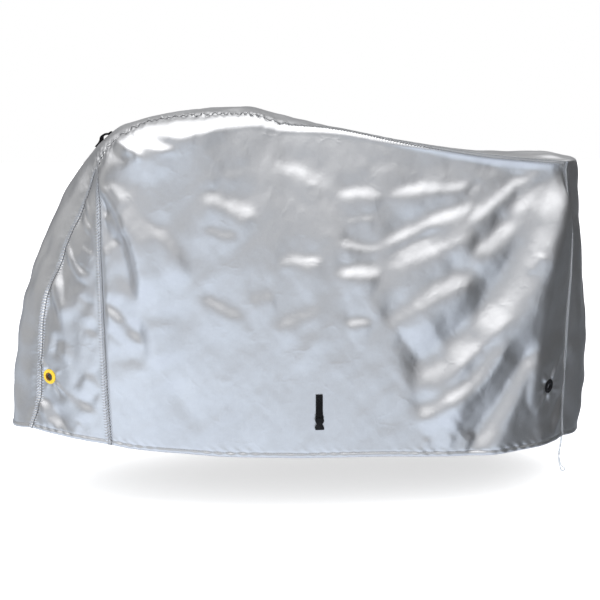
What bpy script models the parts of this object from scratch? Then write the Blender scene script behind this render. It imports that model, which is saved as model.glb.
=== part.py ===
"""Fitted bicycle cover of coated cloth, in the shape in which it hangs over a bicycle.

The bicycle itself is not modelled: the cover is hollow and open at the bottom.
Metres, +X towards the rear wheel, +Y towards the far side, +Z up.  The origin lies on
the centre line, at the underside of the top strip where the cover is highest.
"""
import math

import bmesh
import bpy
import numpy as np
from mathutils import Matrix, Vector

# ---- driving dimensions -------------------------------------------------------------
CLOTH = 0.002              # thickness of the cloth with its coating and turned hems
GAP = 0.0003               # air between neighbouring pieces
SEAM_GAP = 0.0006          # air between two panels at a seam, which is not straight
NEAR, FAR = -1, 1          # sign of y on the two sides

SIDE_COLUMNS = 36          # faces along a side panel
SIDE_ROWS = 24             # faces from its top seam to its hem
FRONT_COLUMNS = 7          # faces across a front side piece
STRIP_COLUMNS = 6          # faces across the top strip
SHOULDER_ROWS = 5          # rows that round the shoulder below the top seam
APEX_LENGTH = 0.012        # blunt tip of a front side piece, along the strip's seam
FRONT_FULLNESS = 0.010     # how far a front side piece bellies out between its seams
FOLD_FADE = 0.05           # folds die out over this length towards a seam
INSIDE = np.array([0.15, 0.0, -0.50])   # a point in the middle of the hollow

EYELET_OUTER = 0.0215      # radius of an eyelet's front flange
EYELET_BACK = 0.0170       # radius of its washer behind the cloth
EYELET_BARREL = 0.0125     # radius of the barrel that fills the cut in the cloth
EYELET_BORE = 0.0095       # radius of its empty hole
EYELET_SEAT = 0.0015       # flange face to the middle of the cloth
EYELET_FLANGE = 0.0018     # thickness of a flange
EYELET_RIM = 0.003         # width of the slope at the flange's edge
EYELET_RIM_DROP = 0.0012   # how far that slope falls
EYELET_STEPS = 20          # flat faces round an eyelet
EYELET_FLAT = 0.045        # radius of the flat patch of cloth under an eyelet
HOLE_SEGMENTS = 24         # flat faces round the cut in the cloth
HOLE_DEPTH = 0.03          # reach of its cutter
FRONT_EYELET = (-0.564, -0.740)   # x, z of its centre, seen square on
REAR_EYELET = (0.873, -0.796)

STRAP_PLACE = (0.187, -0.768)     # x, z of the top of the strap on the side
STRAP_WIDTH = 0.019
STRAP_LAYER = 0.0016       # thickness of one layer of webbing
STRAP_LENGTH = 0.0579      # from its top to the top of the buckle's bar
STRAP_FLAT = 0.060         # radius of the flat patch of cloth behind strap and buckle
STRAP_FLAT_DROP = 0.047    # its centre below the top of the strap
STRAP_SPLIT = 0.0074       # where its two layers part, above the buckle's bar
STRAP_SPREAD = 0.0060      # height over which they open round the bar
STRAP_ROUND = 0.0012       # rounding of the webbing under the bar

BUCKLE_LENGTH = 0.0395
BUCKLE_DEPTH = 0.0094
BAR_DEPTH = 0.0034         # thickness of both halves of the buckle at their bars
BAR_HEIGHT = 0.0032
SLOT_HEIGHT = 0.0048       # the slot that the webbing passes through
SLOT_HALF = 0.0099
MOUTH_HALF = 0.0090        # half width of the socket's cavity
MOUTH_DEPTH = 0.0056       # its height, front to back
MOUTH_TOP = 0.0125         # where the cavity ends, measured down from the bar
MOUTH_RUN_OUT = 0.006      # how far the cavity's cutter runs past the mouth
BUCKLE_LIFT = 0.0060       # middle of the buckle to the middle of the cloth

LOOP_WIDTH = 0.020
LOOP_SEAT = 0.0004         # air under its sewn ends
LOOP_START = (-0.419, -0.110)     # x, z of its lower end on the strip's middle line
LOOP_REACH = 0.012         # half the length over which the strip's slope is read
CORD_DIAMETER = 0.0028

# The strip from the front hem over the crown to the rear hem.  A section is a bow
# between its two seams, which lie half_width off the centre line.
STRIP_HEADER = ("name", "seam_x", "seam_z", "half_width", "mid_x", "mid_z")
STRIP = [
    ("front_hem",     -0.636, -0.897, 0.120, -0.711, -0.921),
    ("front_foot",    -0.606, -0.810, 0.118, -0.701, -0.820),
    ("front_wheel",   -0.595, -0.700, 0.115, -0.684, -0.700),
    ("front_fork",    -0.586, -0.600, 0.112, -0.660, -0.590),
    ("front_bend",    -0.570, -0.518, 0.110, -0.637, -0.505),
    ("front_stem",    -0.532, -0.445, 0.110, -0.607, -0.425),
    ("front_basket",  -0.498, -0.360, 0.112, -0.570, -0.345),
    ("brow_low",      -0.456, -0.280, 0.116, -0.528, -0.262),
    ("brow",          -0.424, -0.215, 0.122, -0.482, -0.187),
    ("apex",          -0.403, -0.164, 0.130, -0.436, -0.130),
    ("brow_top",      -0.372, -0.110, 0.138, -0.396, -0.089),
    ("crown_front",   -0.325, -0.073, 0.144, -0.335, -0.048),
    ("handlebar",     -0.255, -0.037, 0.147, -0.258, -0.025),
    ("crown_rise",    -0.130, -0.021, 0.147, -0.130, -0.006),
    ("crown",          0.000, -0.019, 0.147,  0.000,  0.001),
    ("crown_back",     0.100, -0.043, 0.147,  0.100, -0.021),
    ("slope_top",      0.225, -0.054, 0.147,  0.225, -0.051),
    ("slope",          0.440, -0.094, 0.147,  0.440, -0.093),
    ("saddle",         0.660, -0.127, 0.146,  0.660, -0.126),
    ("rear_deck",      0.775, -0.138, 0.142,  0.790, -0.128),
    ("rear_rack_top",  0.835, -0.143, 0.136,  0.872, -0.127),
    ("rear_edge",      0.876, -0.145, 0.128,  0.936, -0.139),
    ("rear_corner",    0.894, -0.150, 0.124,  0.972, -0.149),
    ("rear_turn",      0.897, -0.175, 0.120,  0.981, -0.185),
    ("rear_high",      0.915, -0.262, 0.112,  0.986, -0.262),
    ("rear_rack",      0.938, -0.375, 0.108,  1.003, -0.370),
    ("rear_hub",       0.943, -0.500, 0.106,  1.024, -0.500),
    ("rear_wheel",     0.944, -0.640, 0.105,  1.046, -0.640),
    ("rear_foot",      0.947, -0.790, 0.105,  1.056, -0.790),
    ("rear_low",       0.949, -0.900, 0.105,  1.054, -0.900),
    ("rear_hem",       0.957, -0.985, 0.105,  1.044, -1.000),
]
APEX_ROW, REAR_CORNER_ROW = 9, 22

# The upright seam between a front side piece and its side panel, from top to hem.
UPRIGHT_HEADER = ("name", "x", "z", "half_width")
UPRIGHT = [
    ("shoulder", -0.397, -0.200, 0.166),
    ("upper",    -0.398, -0.330, 0.189),
    ("middle",   -0.400, -0.520, 0.201),
    ("lower",    -0.403, -0.740, 0.209),
    ("hem",      -0.400, -0.917, 0.215),
]

# The hem of a side panel, as a fraction of its length.
HEM_HEADER = ("name", "along", "x", "z")
HEM = [
    ("upright_seam", 0.000, -0.400, -0.917),
    ("front",        0.065, -0.312, -0.930),
    ("front_hub",    0.150, -0.199, -0.936),
    ("pedal",        0.255, -0.060, -0.944),
    ("strap",        0.400,  0.134, -0.947),
    ("middle",       0.565,  0.357, -0.951),
    ("rear",         0.670,  0.500, -0.958),
    ("rear_hub",     0.780,  0.650, -0.966),
    ("rear_turn",    0.895,  0.813, -0.970),
    ("rear_side",    0.955,  0.900, -0.975),
    ("rear_seam",    1.000,  0.957, -0.985),
]

# How far a side panel stands out from the centre line, as a fraction of its length.
SPREAD_HEADER = ("name", "along", "shoulder_drop", "shoulder", "middle", "hem")
SPREAD = [
    ("upright_seam", 0.000, 0.040, 0.160, 0.201, 0.215),
    ("brow",         0.045, 0.060, 0.195, 0.218, 0.226),
    ("bar_end",      0.100, 0.085, 0.235, 0.238, 0.240),
    ("grip",         0.150, 0.095, 0.253, 0.246, 0.250),
    ("grip_back",    0.215, 0.060, 0.238, 0.250, 0.262),
    ("crown",        0.310, 0.042, 0.200, 0.248, 0.274),
    ("frame",        0.430, 0.024, 0.172, 0.242, 0.285),
    ("saddle",       0.640, 0.017, 0.163, 0.228, 0.282),
    ("rack_front",   0.800, 0.013, 0.156, 0.208, 0.258),
    ("rack",         0.910, 0.012, 0.148, 0.182, 0.213),
    ("rear_bend",    0.965, 0.020, 0.138, 0.149, 0.160),
    ("rear_seam",    1.000, 0.040, 0.118, 0.106, 0.105),
]

# Front view of the buckle's halves, down from the bar: depth below it and half width.
SOCKET_FRAME = [(0.0000, 0.0113), (0.0090, 0.0113)]
SOCKET_BODY = [
    (0.0080, 0.0113), (0.0130, 0.0122), (0.0180, 0.0112), (0.0215, 0.0086), (0.0245, 0.0072),
    (0.0275, 0.0084), (0.0315, 0.0120), (0.0385, 0.0124), (0.0395, 0.0116),
]
PLUG_BODY = [
    (0.0000, 0.0113), (0.0085, 0.0113), (0.0105, 0.0103), (0.0110, 0.0080), (0.0170, 0.0082),
    (0.0190, 0.0108), (0.0240, 0.0112), (0.0290, 0.0096), (0.0330, 0.0072), (0.0330, 0.0056),
    (0.0290, 0.0052), (0.0130, 0.0056), (0.0125, 0.0018), (0.0310, 0.0016),
]

# The grab loop along the strip: its clearance over the cloth and its thickness.
LOOP_HEADER = ("name", "along", "clearance", "thickness")
LOOP = [
    ("lower_end",    0.000, 0.0000, 0.0034),
    ("lower_stitch", 0.012, 0.0000, 0.0042),
    ("folded_over",  0.023, 0.0003, 0.0076),
    ("knuckle",      0.030, 0.0010, 0.0102),
    ("arch_start",   0.032, 0.0072, 0.0045),
    ("arch",         0.038, 0.0080, 0.0036),
    ("arch_end",     0.045, 0.0066, 0.0035),
    ("upper_stitch", 0.052, 0.0000, 0.0036),
    ("upper_end",    0.060, 0.0000, 0.0032),
]

# The draw cord hangs doubled out of the rear hem: the middle line of its two strands,
# half the distance between them, and how far they are turned about that line.
CORD_HEADER = ("name", "x", "y", "z", "half_apart", "turned_deg")
CORD = [
    ("hem",         0.9570, -0.1060, -0.9862, 0.0018,   0.0),
    ("below_hem",   0.9567, -0.1055, -0.9970, 0.0017,   0.0),
    ("twist_start", 0.9556, -0.1050, -1.0166, 0.0017,  60.0),
    ("twist",       0.9540, -0.1050, -1.0350, 0.0017, 170.0),
    ("twist_end",   0.9537, -0.1050, -1.0520, 0.0017, 290.0),
    ("neck",        0.9565, -0.1050, -1.0700, 0.0017, 350.0),
    ("eye_start",   0.9612, -0.1050, -1.0840, 0.0020, 360.0),
    ("eye_mid",     0.9660, -0.1050, -1.0920, 0.0046, 360.0),
    ("eye_end",     0.9700, -0.1050, -1.0975, 0.0060, 360.0),
]
CORD_STEPS = 20            # points on each strand
CORD_TURN_STEPS = 5        # points round the eye at the bottom


# ---- curves through tables ----------------------------------------------------------
def column(rows, header, name):
    """One named column of a table."""
    return np.array([row[header.index(name)] for row in rows], float)


def smooth(knots, values, at):
    """Value of a smooth curve through the knots, without overshoot."""
    knots, values = np.asarray(knots, float), np.asarray(values, float)
    steps = np.diff(knots)
    slopes = np.diff(values) / steps
    ends = [slopes[0]]
    for before, after in zip(slopes[:-1], slopes[1:]):
        ends.append(0.0 if before * after <= 0 else 2 * before * after / (before + after))
    ends.append(slopes[-1])
    at = np.clip(at, knots[0], knots[-1])
    k = np.clip(np.searchsorted(knots, at, side="right") - 1, 0, len(steps) - 1)
    h = steps[k]
    t = (at - knots[k]) / h
    ends = np.array(ends)
    return ((2 * t**3 - 3 * t**2 + 1) * values[k] + (t**3 - 2 * t**2 + t) * h * ends[k]
            + (3 * t**2 - 2 * t**3) * values[k + 1] + (t**3 - t**2) * h * ends[k + 1])


def ease(t):
    """0 to 1 with flat ends."""
    t = np.clip(t, 0.0, 1.0)
    return t * t * (3 - 2 * t)


# ---- folds --------------------------------------------------------------------------
# A fold runs along a bowed line on a side, seen square on.  bow is how far the middle
# of the line lies above the straight line between its ends, width is half the fold's
# breadth, and a negative height is a valley.
FOLD_HEADER = ("name", "start_x", "start_z", "end_x", "end_z", "bow", "width", "height")
NEAR_FOLDS = [
    ("brow_valley",      -0.38, -0.18, -0.24, -0.76,  0.06, 0.032, -0.014),
    ("brow_ridge",       -0.37, -0.22, -0.30, -0.34,  0.01, 0.030,  0.012),
    ("grip_valley",      -0.28, -0.05, -0.17, -0.10, -0.01, 0.026, -0.014),
    ("pocket",           -0.35, -0.11, -0.30, -0.14, -0.02, 0.026, -0.012),
    ("neck_ridge",       -0.26, -0.27, -0.13, -0.44,  0.00, 0.034,  0.010),
    ("bar_streak",       -0.11, -0.22, -0.01, -0.25,  0.00, 0.030,  0.010),
    ("bar_hollow",       -0.11, -0.28, -0.02, -0.32,  0.00, 0.030, -0.009),
    ("frame_ridge",       0.05, -0.13,  0.19, -0.20,  0.00, 0.030,  0.009),
    ("frame_hollow",      0.07, -0.22,  0.19, -0.28,  0.01, 0.032, -0.009),
    ("saddle_ridge",      0.36, -0.24,  0.61, -0.19,  0.01, 0.030,  0.011),
    ("rack_ridge",        0.38, -0.36,  0.63, -0.25, -0.01, 0.032,  0.012),
    ("rack_hollow",       0.38, -0.44,  0.62, -0.33, -0.01, 0.032, -0.010),
    ("deck_ridge",        0.58, -0.34,  0.80, -0.19,  0.00, 0.032,  0.011),
    ("corner_hollow",     0.68, -0.50,  0.80, -0.27, -0.02, 0.034, -0.013),
    ("corner_fold",       0.86, -0.18,  0.54, -0.72,  0.04, 0.038,  0.024),
    ("corner_fold_under", 0.74, -0.57,  0.51, -0.80,  0.02, 0.034, -0.017),
    ("wheel_fold",        0.72, -0.60,  0.46, -0.85,  0.05, 0.036,  0.016),
    ("wheel_hollow",      0.72, -0.71,  0.57, -0.94,  0.00, 0.034, -0.015),
    ("hub_fold",          0.82, -0.64,  0.64, -0.95,  0.00, 0.034,  0.015),
    ("tail_hollow",       0.82, -0.74,  0.73, -0.95,  0.00, 0.032, -0.012),
    ("hem_wave_rear",     0.50, -0.86,  0.49, -0.95,  0.00, 0.036, -0.009),
    ("frame_sag",        -0.14, -0.48,  0.06, -0.48, -0.06, 0.040, -0.008),
    ("middle_streak",     0.06, -0.58,  0.19, -0.51,  0.00, 0.032,  0.008),
    ("hub_streak",       -0.38, -0.51, -0.28, -0.62,  0.00, 0.032,  0.009),
    ("hem_wave_front",   -0.22, -0.82, -0.24, -0.93,  0.00, 0.038,  0.009),
    ("hem_wave_pedal",   -0.02, -0.84, -0.03, -0.94,  0.00, 0.042, -0.009),
]
FAR_FOLDS = [
    ("brow_valley",      -0.36, -0.20, -0.28, -0.66,  0.05, 0.034, -0.013),
    ("neck_ridge",       -0.27, -0.25, -0.12, -0.42,  0.00, 0.036,  0.011),
    ("bar_hollow",       -0.12, -0.24,  0.02, -0.34,  0.00, 0.034, -0.009),
    ("saddle_ridge",      0.34, -0.27,  0.60, -0.18,  0.00, 0.034,  0.012),
    ("rack_hollow",       0.42, -0.36,  0.66, -0.25,  0.00, 0.034, -0.010),
    ("corner_fold",       0.86, -0.18,  0.60, -0.66,  0.03, 0.040,  0.021),
    ("corner_fold_under", 0.80, -0.50,  0.62, -0.80,  0.02, 0.036, -0.014),
    ("hub_fold",          0.80, -0.66,  0.70, -0.95,  0.00, 0.036,  0.012),
    ("frame_sag",         0.02, -0.52,  0.30, -0.46, -0.05, 0.040, -0.010),
    ("hem_wave_front",   -0.16, -0.80, -0.20, -0.93,  0.00, 0.040,  0.010),
    ("hem_wave_rear",     0.30, -0.82,  0.33, -0.95,  0.00, 0.042, -0.010),
]
FRONT_FOLDS = [
    ("leaf",             -0.525, -0.42, -0.535, -0.60,  0.00, 0.018,  0.006),
    ("leaf_hollow",      -0.495, -0.42, -0.495, -0.60,  0.00, 0.018, -0.006),
    ("eyelet_hollow",    -0.545, -0.80, -0.500, -0.90,  0.00, 0.018, -0.006),
    ("hub_hollow",       -0.530, -0.67, -0.430, -0.60,  0.00, 0.020, -0.005),
]


def fold_height(x, z, folds):
    """Sum of the folds' heights at points of a side, seen square on."""
    total = np.zeros_like(x)
    for _, x0, z0, x1, z1, bow, width, height in folds:
        run = np.array([x1 - x0, z1 - z0])
        length = np.hypot(*run)
        run /= length
        along = ((x - x0) * run[0] + (z - z0) * run[1]) / length
        lift = 4 * bow * np.clip(along, 0, 1) * (1 - np.clip(along, 0, 1))
        off = (z - z0) * run[0] - (x - x0) * run[1] - lift * np.sign(run[0])
        ends = ease((along + 0.18) / 0.36) * ease((1.18 - along) / 0.36)
        total += height * np.exp(-(off / width) ** 2) * ends
    return total


# ---- the cover's surface ------------------------------------------------------------
def strip_knots():
    """Running length at each section of the strip."""
    points = np.array([row[1:] for row in STRIP])
    steps = np.diff(points, axis=0)
    return np.concatenate([[0], np.cumsum(np.hypot(steps[:, 0], steps[:, 1]))])


KNOTS = strip_knots()


def strip_section(at):
    """Seam point, half width and middle point of the strip at running lengths."""
    names = STRIP_HEADER[1:]
    values = {name: smooth(KNOTS, column(STRIP, STRIP_HEADER, name), at) for name in names}
    return values["seam_x"], values["seam_z"], values["half_width"], values["mid_x"], values["mid_z"]


def seam_between(start, stop, fractions):
    """Running lengths that share out the seam between two running lengths."""
    fine = np.linspace(start, stop, 400)
    x, z, half, _, _ = strip_section(fine)
    steps = np.sqrt(np.diff(x)**2 + np.diff(z)**2 + np.diff(half)**2)
    length = np.concatenate([[0], np.cumsum(steps)])
    return np.interp(np.asarray(fractions) * length[-1], length, fine)


APEX_FRONT = KNOTS[APEX_ROW]
APEX_BACK = APEX_FRONT + APEX_LENGTH
REAR_CORNER = KNOTS[REAR_CORNER_ROW]
STRIP_END = KNOTS[-1]


def spread(along, name):
    """A column of the spread table at fractions of a side panel's length."""
    knots = column(SPREAD, SPREAD_HEADER, "along")
    return smooth(knots, column(SPREAD, SPREAD_HEADER, name), along)


def row_fractions(along):
    """Fraction of the panel's height at each row, closer together on the shoulder."""
    x, z, _, _, _ = strip_section(seam_between(APEX_BACK, REAR_CORNER, along))
    hem = smooth(column(HEM, HEM_HEADER, "along"), column(HEM, HEM_HEADER, "z"), along)
    drop = spread(along, "shoulder_drop") / (z - hem)
    turn = np.linspace(0, math.pi / 2, SHOULDER_ROWS + 1)
    below = np.linspace(0, 1, SIDE_ROWS - SHOULDER_ROWS + 1)[1:]
    shoulder = np.outer(1 - np.cos(turn), drop)
    side = drop + np.outer(below, 1 - drop)
    return np.vstack([shoulder, side])


def upright_seam(fractions):
    """Points x, z and half width of the upright seam at fractions of its height."""
    x, z, half, _, _ = strip_section(APEX_BACK)
    rows = [("top", float(x), float(z), float(half))] + UPRIGHT
    depth = column(rows, UPRIGHT_HEADER, "z")
    knots = (depth[0] - depth) / (depth[0] - depth[-1])
    names = ("x", "z", "half_width")
    return [smooth(knots, column(rows, UPRIGHT_HEADER, name), fractions) for name in names]


def side_surface():
    """Middle surface of a side panel as x, half width and z on a grid of rows and columns."""
    along = np.linspace(0, 1, SIDE_COLUMNS + 1)
    v = row_fractions(along)
    u = np.broadcast_to(along, v.shape)
    top_x, top_z, top_half, _, _ = strip_section(seam_between(APEX_BACK, REAR_CORNER, along))
    rear = strip_section(seam_between(REAR_CORNER, STRIP_END, v))
    front = upright_seam(v)
    hem_knots = column(HEM, HEM_HEADER, "along")
    grid = {}
    for name, top, left, right in (("x", top_x, front[0], rear[0]), ("z", top_z, front[1], rear[1])):
        hem = smooth(hem_knots, column(HEM, HEM_HEADER, name), along)
        corners = ((1 - u) * (1 - v) * top[0] + u * (1 - v) * top[-1]
                   + (1 - u) * v * hem[0] + u * v * hem[-1])
        grid[name] = (1 - v) * top + v * hem + (1 - u) * left + u * right - corners

    shoulder, middle, hem = (spread(along, name) for name in ("shoulder", "middle", "hem"))
    turn = np.linspace(0, math.pi / 2, SHOULDER_ROWS + 1)
    below = np.linspace(0, 1, SIDE_ROWS - SHOULDER_ROWS + 1)[1:]
    rounded = top_half + np.outer(np.sin(turn), shoulder - top_half)
    hanging = np.array([[smooth([0, 0.45, 1], levels, t) for levels in zip(shoulder, middle, hem)]
                        for t in below])
    half = np.vstack([rounded, hanging])
    at_front = 1 - ease(along / 0.10)
    at_rear = ease((along - 0.90) / 0.10)
    half += at_front * (front[2][:, :1] - half[:, :1]) + at_rear * (rear[2][:, -1:] - half[:, -1:])
    return grid["x"], half, grid["z"]


def front_surface():
    """Middle surface of a front side piece, from the strip's seam to the upright seam."""
    v = row_fractions(np.zeros(1))[:, 0]
    x, z, half, _, _ = strip_section(seam_between(APEX_FRONT, 0.0, v))
    upright = upright_seam(v)
    across = np.linspace(0, 1, FRONT_COLUMNS + 1)
    fullness = FRONT_FULLNESS * np.outer(ease(v / 0.3), 4 * across * (1 - across))
    edges = zip((x, half, z), (upright[0], upright[2], upright[1]))
    grid = [np.outer(front, 1 - across) + np.outer(back, across) for front, back in edges]
    return grid[0], grid[1] + fullness, grid[2]


def strip_surface():
    """Middle surface of the top strip as a grid of sections and points across."""
    rows = row_fractions(np.array([0.0, 1.0]))
    front = seam_between(APEX_FRONT, 0.0, rows[:, 0])[::-1]
    top = seam_between(APEX_BACK, REAR_CORNER, np.linspace(0, 1, SIDE_COLUMNS + 1))
    rear = seam_between(REAR_CORNER, STRIP_END, rows[:, 1])[1:]
    seam_x, seam_z, half, mid_x, mid_z = strip_section(np.concatenate([front, top, rear]))
    across = np.linspace(-1, 1, STRIP_COLUMNS + 1)
    bow = 1 - across**2
    x = seam_x[:, None] + np.outer(mid_x - seam_x, bow)
    z = seam_z[:, None] + np.outer(mid_z - seam_z, bow)
    return np.stack([x, np.outer(half, across), z], axis=-1)


def vertex_normals(points):
    """Outward unit normals at the points of a grid."""
    faces = np.cross(points[1:, 1:] - points[:-1, :-1], points[1:, :-1] - points[:-1, 1:])
    faces /= np.linalg.norm(faces, axis=-1, keepdims=True)
    total = np.zeros_like(points)
    for rows in (slice(None, -1), slice(1, None)):
        for columns in (slice(None, -1), slice(1, None)):
            total[rows, columns] += faces
    total /= np.linalg.norm(total, axis=-1, keepdims=True)
    outwards = np.sum(total * (points - INSIDE)) > 0
    return total if outwards else -total


def running(points, axis):
    """Length along the grid lines, counted from their first points."""
    steps = np.linalg.norm(np.diff(points, axis=axis), axis=-1)
    start = np.zeros_like(np.take(steps, [0], axis=axis))
    return np.concatenate([start, np.cumsum(steps, axis=axis)], axis=axis)


def hung(surface, side, folds):
    """A panel's middle surface on one side, with its folds, as a grid of points."""
    x, half, z = surface
    points = np.stack([x, side * half, z], axis=-1)
    down, over = running(points, 0), running(points, 1)
    fade = ease(down / FOLD_FADE) * ease(over / FOLD_FADE) * ease((over[:, -1:] - over) / FOLD_FADE)
    height = fold_height(x, z, folds) * fade
    return points + vertex_normals(points) * height[..., None]


def flatten(points, place, flat):
    """Flatten a round patch of a panel; returns its centre and outward normal."""
    distance = np.hypot(points[..., 0] - place[0], points[..., 2] - place[1])
    near = distance < 1.6 * flat
    x, y, z = points[near].T
    terms = np.stack([np.ones_like(x), x - place[0], z - place[1]], axis=-1)
    level, slope_x, slope_z = np.linalg.lstsq(terms, y, rcond=None)[0]
    centre = np.array([place[0], level, place[1]])
    normal = np.array([-slope_x, 1.0, -slope_z]) * np.sign(level)
    normal /= np.linalg.norm(normal)
    weight = 1 - ease((distance - flat) / flat)
    points -= ((points - centre) @ normal * weight)[..., None] * normal
    return Vector(centre), Vector(normal)


def pull_back(border, inner, normals, other_normals):
    """Shift a panel's border inwards so that two panels of this thickness clear each other."""
    cosine = np.clip(np.sum(normals * other_normals, axis=-1), -0.2, 1.0)
    half_turn = np.sqrt((1 - cosine) / (1 + cosine))
    inset = SEAM_GAP / 2 + CLOTH / 2 * half_turn
    inwards = inner - border
    border += inwards / np.linalg.norm(inwards, axis=-1, keepdims=True) * inset[:, None]


def part_at_seams(strip, front, side, edge):
    """Open the gap along the seams of one side; edge is the strip's column there."""
    strip_n, front_n, side_n = (vertex_normals(grid) for grid in (strip, front, side))
    inner = 1 if edge == 0 else -2
    at_front = slice(SIDE_ROWS, None, -1)
    at_top = slice(SIDE_ROWS + 1, SIDE_ROWS + SIDE_COLUMNS + 2)
    at_rear = slice(SIDE_ROWS + SIDE_COLUMNS + 1, None)
    strip_edge = strip_n[:, edge]
    panel_edge = np.concatenate([front_n[::-1, 0], side_n[0], side_n[1:, -1]])
    pull_back(strip[:, edge], strip[:, inner].copy(), strip_edge, panel_edge)
    pull_back(front[:, 0], front[:, 1].copy(), front_n[:, 0], strip_edge[at_front])
    pull_back(front[:, -1], front[:, -2].copy(), front_n[:, -1], side_n[:, 0])
    apex_edge = np.broadcast_to(strip_edge[SIDE_ROWS], front_n[0].shape)
    pull_back(front[0], front[1].copy(), front_n[0], apex_edge)
    pull_back(side[0], side[1].copy(), side_n[0], strip_edge[at_top])
    pull_back(side[:, 0], side[:, 1].copy(), side_n[:, 0], front_n[:, -1])
    pull_back(side[:, -1], side[:, -2].copy(), side_n[:, -1], strip_edge[at_rear])


# ---- making objects -----------------------------------------------------------------
def clear_scene():
    for obj in list(bpy.data.objects):
        bpy.data.objects.remove(obj, do_unlink=True)


def new_collection(name):
    collection = bpy.data.collections.new(name)
    bpy.context.scene.collection.children.link(collection)
    return collection


def plain_material(name, colour, roughness, metallic=0.0):
    material = bpy.data.materials.new(name)
    material.use_nodes = True
    shader = material.node_tree.nodes["Principled BSDF"]
    shader.inputs["Base Color"].default_value = (*colour, 1.0)
    shader.inputs["Roughness"].default_value = roughness
    shader.inputs["Metallic"].default_value = metallic
    material.diffuse_color = (*colour, 1.0)
    return material


def add_object(name, data, material, collection):
    obj = bpy.data.objects.new(name, data)
    data.materials.append(material)
    collection.objects.link(obj)
    return obj


def cloth_panel(name, points, material, collection):
    """A sheet of the cloth's thickness around a grid of points."""
    rows, columns = points.shape[0] - 1, points.shape[1] - 1
    mesh = bpy.data.meshes.new(name)
    bm = bmesh.new()
    bmesh.ops.create_grid(bm, x_segments=columns, y_segments=rows, size=1.0)
    for vert, point in zip(bm.verts, points.reshape(-1, 3)):
        vert.co = point
    for face in bm.faces:
        face.smooth = True
    for edge in bm.edges:
        edge.smooth = not edge.is_boundary
    bm.to_mesh(mesh)
    bm.free()
    obj = add_object(name, mesh, material, collection)
    solid = obj.modifiers.new("thickness", "SOLIDIFY")
    solid.thickness = CLOTH
    solid.offset = 0.0
    return obj


def frame_on(centre, normal, lift=0.0):
    """Placing matrix with X across, Y up along the cloth and Z out of it."""
    across = Vector((0, 0, 1)).cross(normal).normalized()
    up = normal.cross(across)
    matrix = Matrix((across, up, normal)).transposed().to_4x4()
    matrix.translation = centre + normal * lift
    return matrix


def cut_hole(panel, centre, normal, cutters):
    """Cut a round hole for an eyelet's barrel."""
    mesh = bpy.data.meshes.new(panel.name + "_cut")
    bm = bmesh.new()
    radius = EYELET_BARREL + GAP
    bmesh.ops.create_cone(bm, cap_ends=True, segments=HOLE_SEGMENTS, radius1=radius,
                          radius2=radius, depth=HOLE_DEPTH)
    bm.to_mesh(mesh)
    bm.free()
    cutter = bpy.data.objects.new(mesh.name, mesh)
    cutters.objects.link(cutter)
    cutter.matrix_world = frame_on(centre, normal)
    cutter.hide_render = True
    cutter.display_type = "WIRE"
    hole = panel.modifiers.new("eyelet hole", "BOOLEAN")
    hole.operation = "DIFFERENCE"
    hole.object = cutter


def eyelet(name, centre, normal, material, collection):
    """A turned ring that grips the cloth between a front flange and a washer."""
    outer, face = EYELET_SEAT + EYELET_FLANGE, EYELET_SEAT
    profile = [
        (EYELET_BORE, outer), (EYELET_OUTER - EYELET_RIM, outer), (EYELET_OUTER, outer - EYELET_RIM_DROP),
        (EYELET_OUTER, face), (EYELET_BARREL, face), (EYELET_BARREL, -face),
        (EYELET_BACK, -face), (EYELET_BACK, -outer), (EYELET_BORE, -outer),
    ]
    mesh = bpy.data.meshes.new(name)
    bm = bmesh.new()
    verts = [bm.verts.new((radius, 0, height)) for radius, height in profile]
    for first, second in zip(verts, verts[1:] + verts[:1]):
        bm.edges.new((first, second))
    bm.to_mesh(mesh)
    bm.free()
    obj = add_object(name, mesh, material, collection)
    turn = obj.modifiers.new("turn", "SCREW")
    turn.steps = turn.render_steps = EYELET_STEPS
    turn.use_merge_vertices = True
    turn.merge_threshold = 0.0001
    obj.matrix_world = frame_on(centre, normal)
    return obj


def outline_solid(name, outlines, width, material, collection):
    """A flat outline with its holes, extruded to a width across its middle plane."""
    curve = bpy.data.curves.new(name, "CURVE")
    curve.dimensions = "2D"
    curve.fill_mode = "BOTH"
    curve.extrude = width / 2
    for outline in outlines:
        spline = curve.splines.new("POLY")
        spline.points.add(len(outline) - 1)
        for point, (x, y) in zip(spline.points, outline):
            point.co = (x, y, 0, 1)
        spline.use_cyclic_u = True
    return add_object(name, curve, material, collection)


def edge_on(centre, normal, lift_up):
    """Placing matrix for an outline seen along the cloth: X out of it, Y up along it."""
    across = Vector((0, 0, 1)).cross(normal).normalized()
    up = normal.cross(across)
    matrix = Matrix((normal, up, normal.cross(up))).transposed().to_4x4()
    matrix.translation = centre + up * lift_up
    return matrix


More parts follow.
